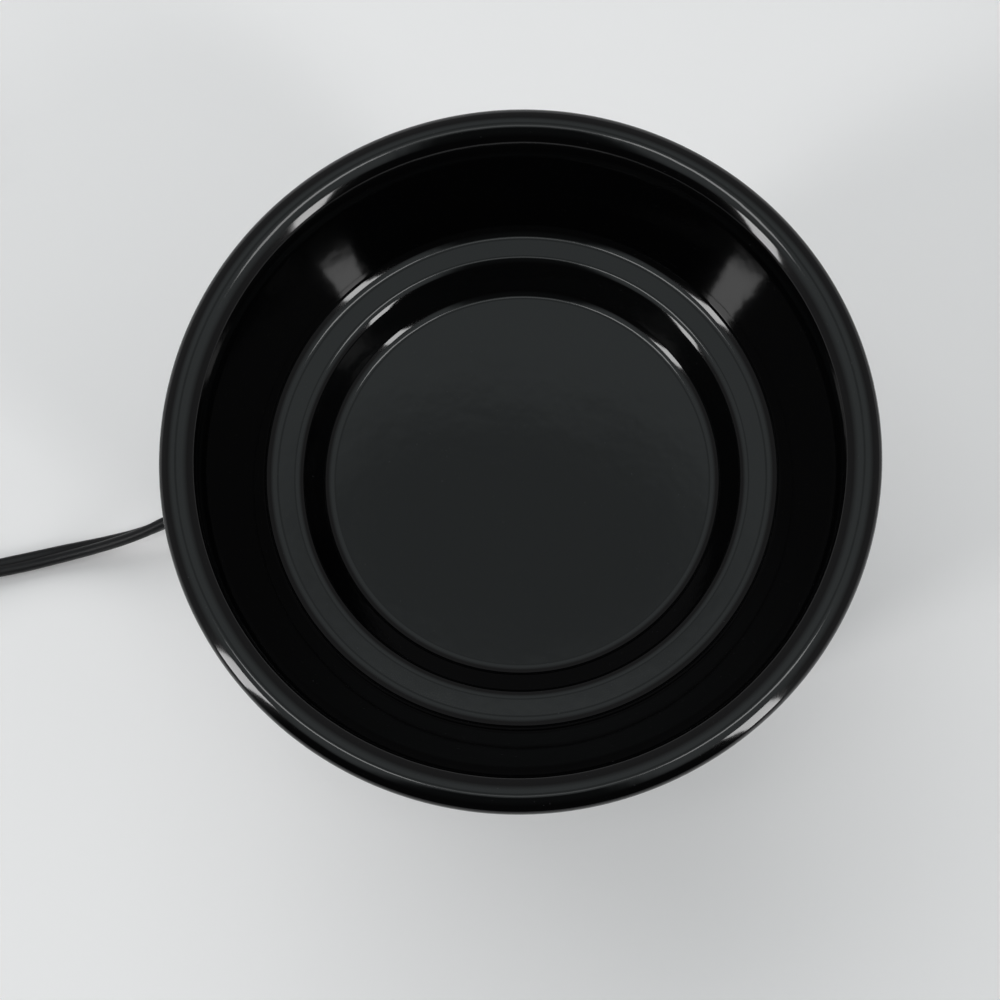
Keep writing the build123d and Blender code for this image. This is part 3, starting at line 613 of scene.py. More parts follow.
STRAP_WEAVE = Moulding("strap_weave", 0.014, 0.024, (0.7, 0.85), 0.0, 2600.0, 0.12 * MM)
WIRE_SKIN = Moulding("wire_skin", 0.62, 0.72, (0.4, 0.5), -0.02)
PLATE_ALUMINIUM = BareMetal("plate_aluminium", (0.62, 0.63, 0.64), (0.76, 0.77, 0.78), 0.34)
STEEL = BareMetal("steel", (0.46, 0.46, 0.47), (0.60, 0.60, 0.61), 0.32)
RIBBON_METAL = BareMetal("ribbon_metal", (0.40, 0.38, 0.35), (0.52, 0.50, 0.46), 0.4)
BRASS = BareMetal("brass", (0.62, 0.46, 0.20), (0.76, 0.60, 0.30), 0.3)
MICA = Mineral("mica", (0.50, 0.44, 0.34), (0.66, 0.60, 0.48), 420.0, 0.45)
BUSH_CERAMIC = Mineral("bush_ceramic", (0.78, 0.76, 0.71), (0.70, 0.68, 0.62), 900.0, 0.6)
GLASS_BRAID = Mineral("glass_braid", (0.74, 0.71, 0.62), (0.56, 0.53, 0.45), 1400.0, 0.8)

# The CAD nodes that stay in view, by finish
NODE_FINISHES: dict[Finish, tuple[str, ...]] = {
    SEAL_RUBBER: ("plate_gasket",),
    PLATE_ALUMINIUM: ("hot_plate",),
    MICA: ("upper_mica", "lower_mica"),
    RIBBON_METAL: ("heater_ribbon",),
    STEEL: (
        "clamp_disc", "terminal_posts", "tie_rod", "tie_washers", "tie_nuts",
        "thermal_fuse", "fuse_clip", "clip_screws", "rocker_pin", "switch_screws",
    ),
    BUSH_CERAMIC: ("terminal_bushes",),
    BASE_PLASTIC: ("base_plate",),
    GLASS_BRAID: ("fuse_sleeve",),
    BRASS: ("fuse_crimps", "rocker_contact", "switch_contacts", "plug_blades"),
    WIRE_SKIN: ("live_wire", "link_wire", "neutral_wire", "switch_wires"),
    SWITCH_PLASTIC: ("switch_base",),
}


def dress(piece: Piece, material: bpy.types.Material) -> None:
    """Give a piece one material in place of any that it has."""
    piece.data.materials.clear()
    piece.data.materials.append(material)


class SubAssembly:
    """What every sub-assembly has: a way to set a piece in the model."""

    def fit(self, piece: Piece, finish: Finish, body: Body, slot: str, *nodes: str) -> Piece:
        """Dress a piece, let it ride on its body and let it stand for CAD nodes.

        Args:
            piece: The piece.
            finish: Its finish.
            body: The body that it rides on.
            slot: Not used.
            nodes: The CAD nodes that it replaces.

        Returns:
            The same piece.
        """
        dress(piece, finish.material())
        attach(piece, body.value)
        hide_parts(*nodes)
        return piece


@dataclass
class WaxDish(SubAssembly):
    """The turned dish: rounded lip, flaring wall, ledge, step and sunk floor."""

    rim_width: float = 4.9 * MM
    rim_share: float = 0.995
    lip_chamfer: float = 1.45 * MM
    lip_edge_round: float = 1.35 * MM
    lip_height: float = 6.2 * MM
    lip_undercut: float = 3.0 * MM
    crown_turn: float = 45.0
    wall: float = 4.0 * MM
    wall_bulge: float = 0.58 * MM
    wall_bulge_share: float = 0.84
    wall_bulge_round: float = 18.0 * MM
    ledge_depth: float = 21.0 * MM
    ledge_outer: float = 45.2 * MM
    ledge_inner: float = 39.5 * MM
    ledge_fillet: float = 2.7 * MM
    ledge_edge_round: float = 2.1 * MM
    well_depth: float = 26.8 * MM
    well_radius: float = 35.3 * MM
    well_fillet: float = 2.5 * MM
    heel_round: float = 1.5 * MM
    under_round: float = 1.0 * MM
    arc_segments: int = 14
    steps: int = 256

    def corners(self) -> list[Corner]:
        """List the section's corners.

        Returns:
            Radius and height of each corner, with the radius that rounds it.
        """
        low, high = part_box("wax_dish")
        rim, top = high.x, high.z
        ledge = top - self.ledge_depth
        well = top - self.well_depth
        rim_inner = rim - self.rim_width
        slope = math.atan2(self.ledge_depth, rim_inner - self.ledge_outer)
        step_slope = math.atan2(self.well_depth - self.ledge_depth, self.ledge_inner - self.well_radius)
        share = self.wall_bulge_share
        bulge = (
            self.ledge_outer + share * (rim_inner - self.ledge_outer) - self.wall_bulge * math.sin(slope),
            ledge + share * self.ledge_depth + self.wall_bulge * math.cos(slope),
        )
        flare = math.atan2(top - bulge[1], rim_inner - bulge[0])
        lip_round = self.rim_share * (self.rim_width - 2.0 * self.lip_chamfer) / math.tan(flare / 2.0)
        crown_round = self.rim_share * self.lip_chamfer / math.tan(math.radians(self.crown_turn / 2.0))
        lip_foot = top - self.lip_height - self.lip_undercut
        ledge_under = ledge - self.wall

        def outside(radius: float, level: float, lean: float, height: float) -> float:
            """Outside radius, at a height, of a wall whose inside leans out from a radius and level."""
            return radius + (height - level) / math.tan(lean) + self.wall / math.sin(lean)

        wall_foot = (self.ledge_outer, ledge, slope)
        step_foot = (self.well_radius, well, step_slope)
        return [
            ((0.0, well), 0.0),
            ((self.well_radius, well), self.well_fillet),
            ((self.ledge_inner, ledge), self.ledge_edge_round),
            ((self.ledge_outer, ledge), self.ledge_fillet),
            (bulge, self.wall_bulge_round),
            ((rim_inner, top), lip_round),
            ((rim - self.lip_chamfer, top), crown_round),
            ((rim, top - self.lip_chamfer), self.lip_edge_round),
            ((rim, top - self.lip_height), self.under_round),
            ((outside(*wall_foot, lip_foot), lip_foot), self.under_round),
            ((outside(*wall_foot, ledge_under), ledge_under), self.heel_round),
            ((outside(*step_foot, ledge_under), ledge_under), self.under_round),
            ((outside(*step_foot, low.z), low.z), self.under_round),
            ((0.0, low.z), 0.0),
        ]

    def build(self) -> list[Piece]:
        """Turn the dish."""
        dish = link_mesh(turn_section(self.corners(), self.arc_segments, self.steps), "glazed_dish")
        return [self.fit(dish, DISH_GLAZE, Body.DISH, "dish_glaze", "wax_dish")]


@dataclass
class Pot(SubAssembly):
    """The glazed pot: an upright skirt, a side that leans in, and a shelf in the mouth."""

    wall: float = 4.2 * MM
    neck: float = 47.0 * MM
    skirt_height: float = 26.0 * MM
    foot_round: float = 1.4 * MM
    neck_round: float = 1.5 * MM
    mouth_round: float = 0.75 * MM
    shelf_thickness: float = 4.0 * MM
    shelf_width: float = 5.8 * MM
    base_seat: float = 1.4 * MM
    base_thickness: float = 3.0 * MM
    side_steps: int = 24
    arc_segments: int = 8
    steps: int = 192

    def build(self) -> list[Piece]:
        """Spin the section round its axis.

        Returns:
            The pot.
        """
        low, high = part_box("pot")
        seal_low, seal_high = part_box("plate_gasket")
        mouth, shelf_top = seal_high.x, seal_low.z
        base, foot, top = high.x, low.z, high.z
        skirt = foot + self.skirt_height
        inner = base - self.wall
        base_top = foot + self.base_thickness
        bm = bmesh.new()
        seat = inner + self.base_seat
        below = draw_profile(bm, [(seat, base_top), (seat, foot), (base, foot), (base, skirt)])
        lean, rise = base - self.neck, top - skirt
        sweep_radius = (lean * lean + rise * rise) / (2.0 * lean)
        swept = bmesh.ops.spin(
            bm, geom=[below[-1]], cent=(base - sweep_radius, 0.0, skirt), axis=(0.0, -1.0, 0.0),
            angle=math.asin(rise / sweep_radius), steps=self.side_steps,
        )
        neck = verts_in(swept["geom_last"])[0]
        shelf_under = shelf_top - self.shelf_thickness
        above = draw_profile(
            bm,
            [
                (mouth, top),
                (mouth, shelf_top),
                (mouth - self.shelf_width, shelf_top),
                (mouth - self.shelf_width, shelf_under),
                (self.neck - self.wall, shelf_under),
                (inner, skirt),
                (inner, base_top),
            ],
        )
        bm.edges.new((neck, above[0]))
        bm.edges.new((above[-1], below[0]))
        round_corner(bm, below[2], self.foot_round, self.arc_segments)
        round_corner(bm, neck, self.neck_round, self.arc_segments)
        round_corner(bm, above[0], self.mouth_round, self.arc_segments)
        spin_profile(bm, self.steps)
        pot = link_mesh(bm, "glazed_pot", Shading.CRISP)
        return [self.fit(pot, POT_GLAZE, Body.WARMER, "pot_glaze", "pot")]


@dataclass
class RubberFeet(SubAssembly):
    """Four rubber feet with rounded edges and a dimple below."""

    circle: float = 37.0 * MM
    radius: float = 5.5 * MM
    height: float = 4.0 * MM
    dimple_radius: float = 3.2 * MM
    dimple_depth: float = 0.4 * MM
    dimple_round: float = 0.2 * MM
    edge_round: float = 0.9 * MM
    arc_segments: int = 6
    steps: int = 48
    count: int = 4

    def build(self) -> list[Piece]:
        """Turn one foot and set copies of it round the base.

        Returns:
            The feet, as one piece.
        """
        corners = [
            ((0.0, self.dimple_depth), 0.0),
            ((self.dimple_radius - self.dimple_depth, self.dimple_depth), self.dimple_round),
            ((self.dimple_radius, 0.0), self.dimple_round),
            ((self.radius, 0.0), self.edge_round),
            ((self.radius, self.height), 0.0),
            ((0.0, self.height), 0.0),
        ]
        lay = Matrix.Translation((self.circle, 0.0, 0.0))
        bm = turn_section(corners, self.arc_segments, self.steps, lay)
        middle = Vector((0.0, 0.0, 0.0))
        first = bm.verts[:] + bm.edges[:] + bm.faces[:]
        step = math.tau / self.count
        for index in range(1, self.count):
            verts = verts_in(bmesh.ops.duplicate(bm, geom=first)["geom"])
            bmesh.ops.rotate(bm, cent=middle, matrix=Matrix.Rotation(step * index, 3, "Z"), verts=verts)
        bmesh.ops.rotate(bm, cent=middle, matrix=Matrix.Rotation(step / 2.0, 3, "Z"), verts=bm.verts[:])
        feet = link_mesh(bm, "rubber_feet", Shading.CRISP)
        return [self.fit(feet, FOOT_RUBBER, Body.WARMER, "foot", "feet")]


@dataclass(frozen=True)
class GroovedTaper:
    """A tapered sleeve with grooves round it, as moulded on a lead's ends."""

    root: float
    tip: float
    length: float
    count: int
    first: float
    pitch: float
    width: float
    depth: float
    floor_round: float
    edge_round: float = 0.3 * MM
    tip_round: float = 0.9 * MM

    def corners(self, base: float) -> list[Corner]:
        """List the sleeve's corners, from its first groove to its tip.

        Args:
            base: Where the sleeve starts on its axis.

        Returns:
            Radius and reach of each corner, with the radius that rounds it.
        """
        taper = (self.root - self.tip) / self.length
        corners = []
        for groove in range(self.count):
            start = self.first + self.pitch * groove
            end = start + self.width
            floor = self.root - taper * start - self.depth
            corners += [
                ((self.root - taper * start, base + start), self.edge_round),
                ((floor, base + start), self.floor_round),
                ((floor, base + end), self.floor_round),
                ((self.root - taper * end, base + end), self.edge_round),
            ]
        reach = base + self.length
        return [*corners, ((self.tip, reach), self.tip_round), ((0.0, reach), 0.0)]


@dataclass
class LeadBoot(SubAssembly):
    """The bush through the pot's wall, with its flanges and its tapered, grooved boot."""

    exit_height: float = 13.0 * MM
    wall_face: float = 50.0 * MM
    bush_radius: float = 4.25 * MM
    bush_length: float = 4.57 * MM
    flange_radius: float = 5.8 * MM
    flange: float = 2.0 * MM
    flange_round: float = 0.3 * MM
    face_round: float = 0.6 * MM
    arc_segments: int = 5
    steps: int = 64
    sleeve: GroovedTaper = GroovedTaper(
        root=4.6 * MM, tip=3.3 * MM, length=18.0 * MM, count=3, first=4.0 * MM, pitch=4.0 * MM,
        width=1.3 * MM, depth=0.8 * MM, floor_round=0.2 * MM,
    )

    def build(self) -> list[Piece]:
        """Turn the boot, from its inner flange to its tip, and lay it along the way out of the pot.

        Returns:
            The boot.
        """
        inside = self.wall_face - self.bush_length
        root = self.wall_face + self.flange
        corners = [
            ((0.0, inside - self.flange), 0.0),
            ((self.flange_radius, inside - self.flange), self.flange_round),
            ((self.flange_radius, inside), self.flange_round),
            ((self.bush_radius, inside), 0.0),
            ((self.bush_radius, self.wall_face), 0.0),
            ((self.flange_radius, self.wall_face), self.flange_round),
            ((self.flange_radius, root), self.face_round),
            ((self.sleeve.root, root), self.flange_round),
            *self.sleeve.corners(root),
        ]
        lay = Matrix.Translation((0.0, 0.0, self.exit_height)) @ WESTWARD
        bm = turn_section(corners, self.arc_segments, self.steps, lay)
        boot = link_mesh(bm, "lead_boot", Shading.CRISP)
        return [self.fit(boot, BOOT_RUBBER, Body.WARMER, "cord", "strain_relief")]


@dataclass
class InlineSwitch(SubAssembly):
    """The switch on the lead: a rounded lid with a mouth, and the rocker in it."""

    edge_round: float = 1.5 * MM
    edge_segments: int = 6
    corner: float = 8.0 * MM
    corner_segments: int = 14
    seam: float = 0.25 * MM
    seam_segments: int = 2
    mouth_length: float = 23.72 * MM
    mouth_width: float = 10.8 * MM
    mouth_corner: float = 0.8 * MM
    mouth_segments: int = 4
    mouth_overcut: float = 2.0 * MM
    mouth_edge: float = 0.35 * MM
    pivot: Point = (-0.180, -0.022, 0.0105)
    rocker_length: float = 21.0 * MM
    rocker_width: float = 10.0 * MM
    rocker_rise: float = 4.6 * MM
    rocker_dip: float = 1.4 * MM
    rocker_dip_round: float = 45.0 * MM
    rocker_dip_segments: int = 12
    rocker_end_round: float = 1.0 * MM
    rocker_skirt: float = 0.5 * MM
    rocker_hollow: float = 4.0 * MM
    rocker_edge: float = 0.4 * MM
    soft_segments: int = 3
    pin_room: float = 1.8 * MM
    rest_tilt: float = 8.0

    def make_lid(self) -> Piece:
        """Make the lid and cut the rocker's mouth in it.

        Returns:
            The lid.
        """
        low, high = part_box("switch_cover")
        bm = rounded_box(low, high, Axis.Z, self.corner, self.corner_segments)
        bevel(bm, edges_at(bm, Axis.Z, high.z), self.edge_round, self.edge_segments)
        bevel(bm, edges_at(bm, Axis.Z, low.z), self.seam, self.seam_segments)
        lid = link_mesh(bm, "switch_lid")
        reach = Vector((self.mouth_length / 2.0, self.mouth_width / 2.0, 0.0))
        mouth_low, mouth_high = Vector(self.pivot) - reach, Vector(self.pivot) + reach
        mouth_low.z = low.z - self.mouth_overcut
        mouth_high.z = high.z + self.mouth_overcut
        mouth = rounded_box(mouth_low, mouth_high, Axis.Z, self.mouth_corner, self.mouth_segments)
        cut_away(lid, link_mesh(mouth, "mouth_cutter"))
        soften(lid, self.mouth_edge, self.soft_segments)
        return self.fit(lid, SWITCH_PLASTIC, Body.WARMER, "switch", "switch_cover")

    def make_rocker(self) -> Piece:
        """Draw the rocker's side, round its dip and ends, and give it its width.

        Returns:
            The rocker.
        """
        end, hollow = self.rocker_length / 2.0, self.rocker_hollow
        hollow_top = hollow - self.pin_room / 2.0
        bm = bmesh.new()
        outline = [
            (-end, self.rocker_skirt),
            (-end, self.rocker_rise),
            (0.0, self.rocker_rise - self.rocker_dip),
            (end, self.rocker_rise),
            (end, self.rocker_skirt),
            (hollow, self.rocker_skirt),
            (hollow_top, self.pin_room),
            (-hollow_top, self.pin_room),
            (-hollow, self.rocker_skirt),
        ]
        verts = draw_profile(bm, outline)
        bm.edges.new((verts[-1], verts[0]))
        round_corner(bm, verts[2], self.rocker_dip_round, self.rocker_dip_segments)
        for vert in (verts[1], verts[3]):
            round_corner(bm, vert, self.rocker_end_round, self.edge_segments)
        side = bmesh.ops.contextual_create(bm, geom=bm.edges[:])["faces"]
        grown = verts_in(bmesh.ops.extrude_face_region(bm, geom=side)["geom"])
        bmesh.ops.translate(bm, verts=grown, vec=(0.0, self.rocker_width, 0.0))
        bmesh.ops.translate(bm, verts=bm.verts[:], vec=(0.0, -self.rocker_width / 2.0, 0.0))
        lay = Matrix.Translation(self.pivot) @ Matrix.Rotation(math.radians(-self.rest_tilt), 4, "Y")
        bmesh.ops.transform(bm, matrix=lay, verts=bm.verts[:])
        rocker = link_mesh(bm, "rocker_key")
        soften(rocker, self.rocker_edge, self.soft_segments)
        return self.fit(rocker, ROCKER_PLASTIC, Body.ROCKER, "rocker", "rocker")

    def build(self) -> list[Piece]:
        """Make the lid and the rocker."""
        return [self.make_lid(), self.make_rocker()]


@dataclass
class MainsPlug(SubAssembly):
    """The moulded plug: a flaring body with finger grooves, and a ribbed tail."""

    neck_place: Point = (-203.0 * MM, 74.0 * MM, 7.5 * MM)
    length: float = 26.0 * MM
    neck: Pair = (13.0 * MM, 10.0 * MM)
    face: Pair = (25.0 * MM, 15.0 * MM)
    long_edge: float = 2.6 * MM
    long_segments: int = 5
    face_edge: float = 1.2 * MM
    face_segments: int = 4
    grip_start: float = 0.18
    grip_run: float = 0.62
    grip_steps: int = 15
    grip_count: float = 3.0
    grip_depth: float = 0.055
    tail_overlap: float = 2.0 * MM
    tail_segments: int = 5
    tail_steps: int = 48
    tail: GroovedTaper = GroovedTaper(
        root=5.0 * MM, tip=3.4 * MM, length=22.0 * MM, count=4, first=3.2 * MM, pitch=4.0 * MM,
        width=1.68 * MM, depth=0.7 * MM, floor_round=0.3 * MM,
    )

    def make_body(self) -> Mesh:
        """Make the flaring body and press the finger grooves into it.

        Returns:
            The body's mesh.
        """
        bm = bmesh.new()
        bmesh.ops.create_cube(bm, size=1.0)
        for vert in bm.verts:
            width, height = self.face if vert.co.x > 0.0 else self.neck
            vert.co = (self.length * (vert.co.x + 0.5), width * vert.co.y, height * vert.co.z)
        bevel(bm, edges_along(bm, Axis.X, self.length / 2.0), self.long_edge, self.long_segments)
        bevel(bm, edges_at(bm, Axis.X, self.length), self.face_edge, self.face_segments)
        along = edges_along(bm, Axis.X, self.length / 2.0)
        bmesh.ops.subdivide_edges(bm, edges=along, cuts=self.grip_steps, use_grid_fill=True)
        for vert in bm.verts:
            share = (vert.co.x / self.length - self.grip_start) / self.grip_run
            if 0.0 < share < 1.0:
                press = 1.0 - self.grip_depth * math.sin(math.pi * self.grip_count * share) ** 2
                vert.co.y *= press
                vert.co.z *= press
        bmesh.ops.translate(bm, verts=bm.verts[:], vec=self.neck_place)
        return bm

    def make_tail(self) -> Mesh:
        """Turn the ribbed tail that the lead comes out of.

        Returns:
            The tail's mesh.
        """
        corners = [
            ((0.0, -self.tail_overlap), 0.0),
            ((self.tail.root, -self.tail_overlap), 0.0),
            ((self.tail.root, 0.0), 0.0),
            *self.tail.corners(0.0),
        ]
        lay = Matrix.Translation(self.neck_place) @ WESTWARD
        return turn_section(corners, self.tail_segments, self.tail_steps, lay)

    def build(self) -> list[Piece]:
        """Make the body and the tail.

        Returns:
            Both pieces.
        """
        body = link_mesh(self.make_body(), "plug_moulding", Shading.CRISP)
        tail = link_mesh(self.make_tail(), "plug_tail", Shading.CRISP)
        return [self.fit(piece, PLUG_RUBBER, Body.WARMER, "cord", "plug_body") for piece in (body, tail)]


@dataclass
class CoilStrap(SubAssembly):
    """The strap round the coil: a flat band with rounded turns."""

    thickness: float = 0.8 * MM
    turn_round: float = 2.4 * MM
    turn_segments: int = 8
    edge_round: float = 0.2 * MM
    edge_segments: int = 2

    def build(self) -> list[Piece]:
        """Bend the band round and give it its thickness.

        Returns:
            The strap.
        """
        low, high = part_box("cord_tie")
        bm = rounded_box(low, high, Axis.Y, self.turn_round, self.turn_segments)
        ends = [face for face in bm.faces if abs(face.normal.y) > 0.9]
        bmesh.ops.delete(bm, geom=ends, context="FACES_ONLY")
        strap = link_mesh(bm, "coil_strap")
        thicken = strap.modifiers.new("Thickness", "SOLIDIFY")
        thicken.thickness = self.thickness
        thicken.offset = -1.0
        soften(strap, self.edge_round, self.edge_segments)
        return [self.fit(strap, STRAP_WEAVE, Body.WARMER, "strap", "cord_tie")]


@dataclass
class FlatLead(SubAssembly):
    """The flat twin lead: from the boot to the switch, and on through its coil to the plug."""

    boot_pieces: list[Piece]
    switch_pieces: list[Piece]
    plug_pieces: list[Piece]
    width: float = 5.0 * MM
    lobe_radius: float = 1.28 * MM
    web_half: float = 0.8 * MM
    lobe_points: int = 14
    span_steps: int = 8
    lead_length: float = 0.0889
    run_length: float = 1.088
    coil_west: Point = (-0.261, 0.026, 0.0038)
    coil_radius: float = 0.0335
    coil_pitch: float = 0.0030
    coil_rise: float = 0.0055
    coil_inward_halves: int = 5
    points_a_half: int = 8
    own_pull: float = 0.75
    on_edge: float = 90.0
    lead_route: tuple[Point, ...] = (
        (-0.0700, 0.0, 0.0130),
        (-0.0765, 0.0, 0.0130),
        (-0.0830, -0.0016, 0.0123),
        (-0.0905, -0.0053, 0.0095),
        (-0.1000, -0.0082, 0.0058),
        (-0.1105, -0.0111, 0.0032),
        (-0.1220, -0.0149, 0.0026),
        (-0.1340, -0.0188, 0.0039),
        (-0.1445, -0.0214, 0.0064),
        (-0.1538, -0.0220, 0.0072),
    )
    lead_tilts: tuple[float, ...] = (90.0, 90.0, 84.0, 72.0, 55.0, 36.0, 22.0, 38.0, 75.0, 90.0)
    run_route: tuple[Point, ...] = (
        (-0.2062, -0.0220, 0.0072),
        (-0.2160, -0.0218, 0.0067),
        (-0.2280, -0.0200, 0.0046),
        (-0.2430, -0.0150, 0.0038),
        (-0.2540, -0.0040, 0.0038),
        (-0.2600, 0.0090, 0.0038),
        (-0.2610, 0.0180, 0.0038),
    )
    tail_route: tuple[Point, ...] = (
        (-0.2580, 0.0340, 0.0093),
        (-0.2592, 0.0435, 0.0088),
        (-0.2573, 0.0535, 0.0074),
        (-0.2518, 0.0625, 0.0060),
        (-0.2445, 0.0689, 0.0057),
        (-0.2375, 0.0726, 0.0066),
        (-0.2310, 0.0740, 0.0075),
        (-0.2250, 0.0740, 0.0075),
    )

    def half_turn(self, start: Vector, side: int, radius: float, climb: float) -> list[Point]:
        """Work out the control points of half a turn, clockwise from above.

        In the middle of a span the spline is pulled to its own control point by own_pull and to the
        two beside it by the rest, so the points stand a little further out than the turn's radius.

        Args:
            start: Where the half turn starts, on the coil's middle line.
            side: 1 from west to east, -1 from east to west.
            radius: Radius of the half turn.
            climb: How far it rises.

        Returns:
            The points, without the one that starts the next half turn.
        """
        step = math.pi / self.points_a_half
        reach = radius / (self.own_pull + (1.0 - self.own_pull) * math.cos(step))
        middle = start.x + side * radius
        points = []
        for index in range(self.points_a_half):
            across, along = math.cos(step * index), math.sin(step * index)
            rise = climb * (1.0 - across) / 2.0
            points.append((middle - side * reach * across, start.y + side * reach * along, start.z + rise))
        return points

    def coil_points(self) -> list[Point]:
        """Work out the coil: half turns that shrink, one that climbs, and half turns that grow.

        Returns:
            The control points of the whole coil.
        """
        half_pitch = self.coil_pitch / 2.0
        inward = [(self.coil_radius - half_pitch * half, 0.0) for half in range(self.coil_inward_halves)]
        climbing = self.coil_radius - half_pitch * self.coil_inward_halves
        outward = [(climbing + half_pitch * half, 0.0) for half in range(1, self.coil_inward_halves)]
        here, side, points = Vector(self.coil_west), 1, []
        for radius, climb in inward + [(climbing, self.coil_rise)] + outward:
            points += self.half_turn(here, side, radius, climb)
            here = here + Vector((2.0 * radius * side, 0.0, climb))
            side = -side
        points.append(tuple(here))
        return points

    def section(self) -> Piece:
        """Draw the twin section: two round lobes with a web between them.

        Returns:
            A closed curve in its own XY plane.
        """
        offset = self.width / 2.0 - self.lobe_radius
        groove = math.asin(math.sqrt(1.0 - (self.web_half / self.lobe_radius) ** 2))
        arc = math.pi + 2.0 * groove
        curve = bpy.data.curves.new("lead_section", "CURVE")
        curve.dimensions = "2D"
        spline = curve.splines.new("POLY")
        spline.points.add(2 * self.lobe_points - 1)
        for lobe, sign in enumerate((1.0, -1.0)):
            for index in range(self.lobe_points):
                angle = -groove + arc * index / (self.lobe_points - 1)
                across = sign * self.lobe_radius * math.cos(angle)
                along = sign * (offset + self.lobe_radius * math.sin(angle))
                spline.points[lobe * self.lobe_points + index].co = (along, across, 0.0, 1.0)
        spline.use_cyclic_u = True
        return place_object("lead_section", curve)

    def tube(
        self, name: str, route: Sequence[Point], tilts: Sequence[float], *nodes: str
    ) -> tuple[Piece, list[Vector]]:
        """Lay the section along a smooth route.

        Args:
            name: Name of the new piece.
            route: Control points of the route.
            tilts: Turn of the section at each point, in degrees.
            nodes: The CAD nodes that it replaces.

        Returns:
            The tube, and the points that it follows.
        """
        curve = bpy.data.curves.new(name + "_route", "CURVE")
        curve.dimensions = "3D"
        curve.twist_mode = "Z_UP"
        curve.resolution_u = self.span_steps
        spline = curve.splines.new("NURBS")
        spline.points.add(len(route) - 1)
        for point, place, tilt in zip(spline.points, route, tilts):
            point.co = (*place, 1.0)
            point.tilt = math.radians(tilt)
        spline.order_u = 3
        spline.use_endpoint_u = True
        line = place_object(name + "_route", curve)
        bpy.context.view_layer.update()
        path = [vert.co.copy() for vert in bpy.data.meshes.new_from_object(line).vertices]
        section = self.section()
        curve.bevel_mode = "OBJECT"
        curve.bevel_object = section
        curve.use_fill_caps = True
        skin = evaluated_mesh(line)
        skin.name = name
        piece = place_object(name, skin)
        settle(piece, Shading.SMOOTH)
        bpy.data.objects.remove(line)
        bpy.data.objects.remove(section)
        return self.fit(piece, LEAD_SKIN, Body.WARMER, "cord", *nodes), path

    def build(self) -> list[Piece]:
        """Returns:
            The two lengths.
        """
        lead, lead_path = self.tube("lead_to_switch", self.lead_route, self.lead_tilts, "cord_lead")
        route = [*self.run_route, *self.coil_points(), *self.tail_route]
        tilts = [self.on_edge] * len(route)
        run, run_path = self.tube("lead_to_plug", route, tilts, "cord_run", "cord_coil", "cord_tail")
        return [lead, run]


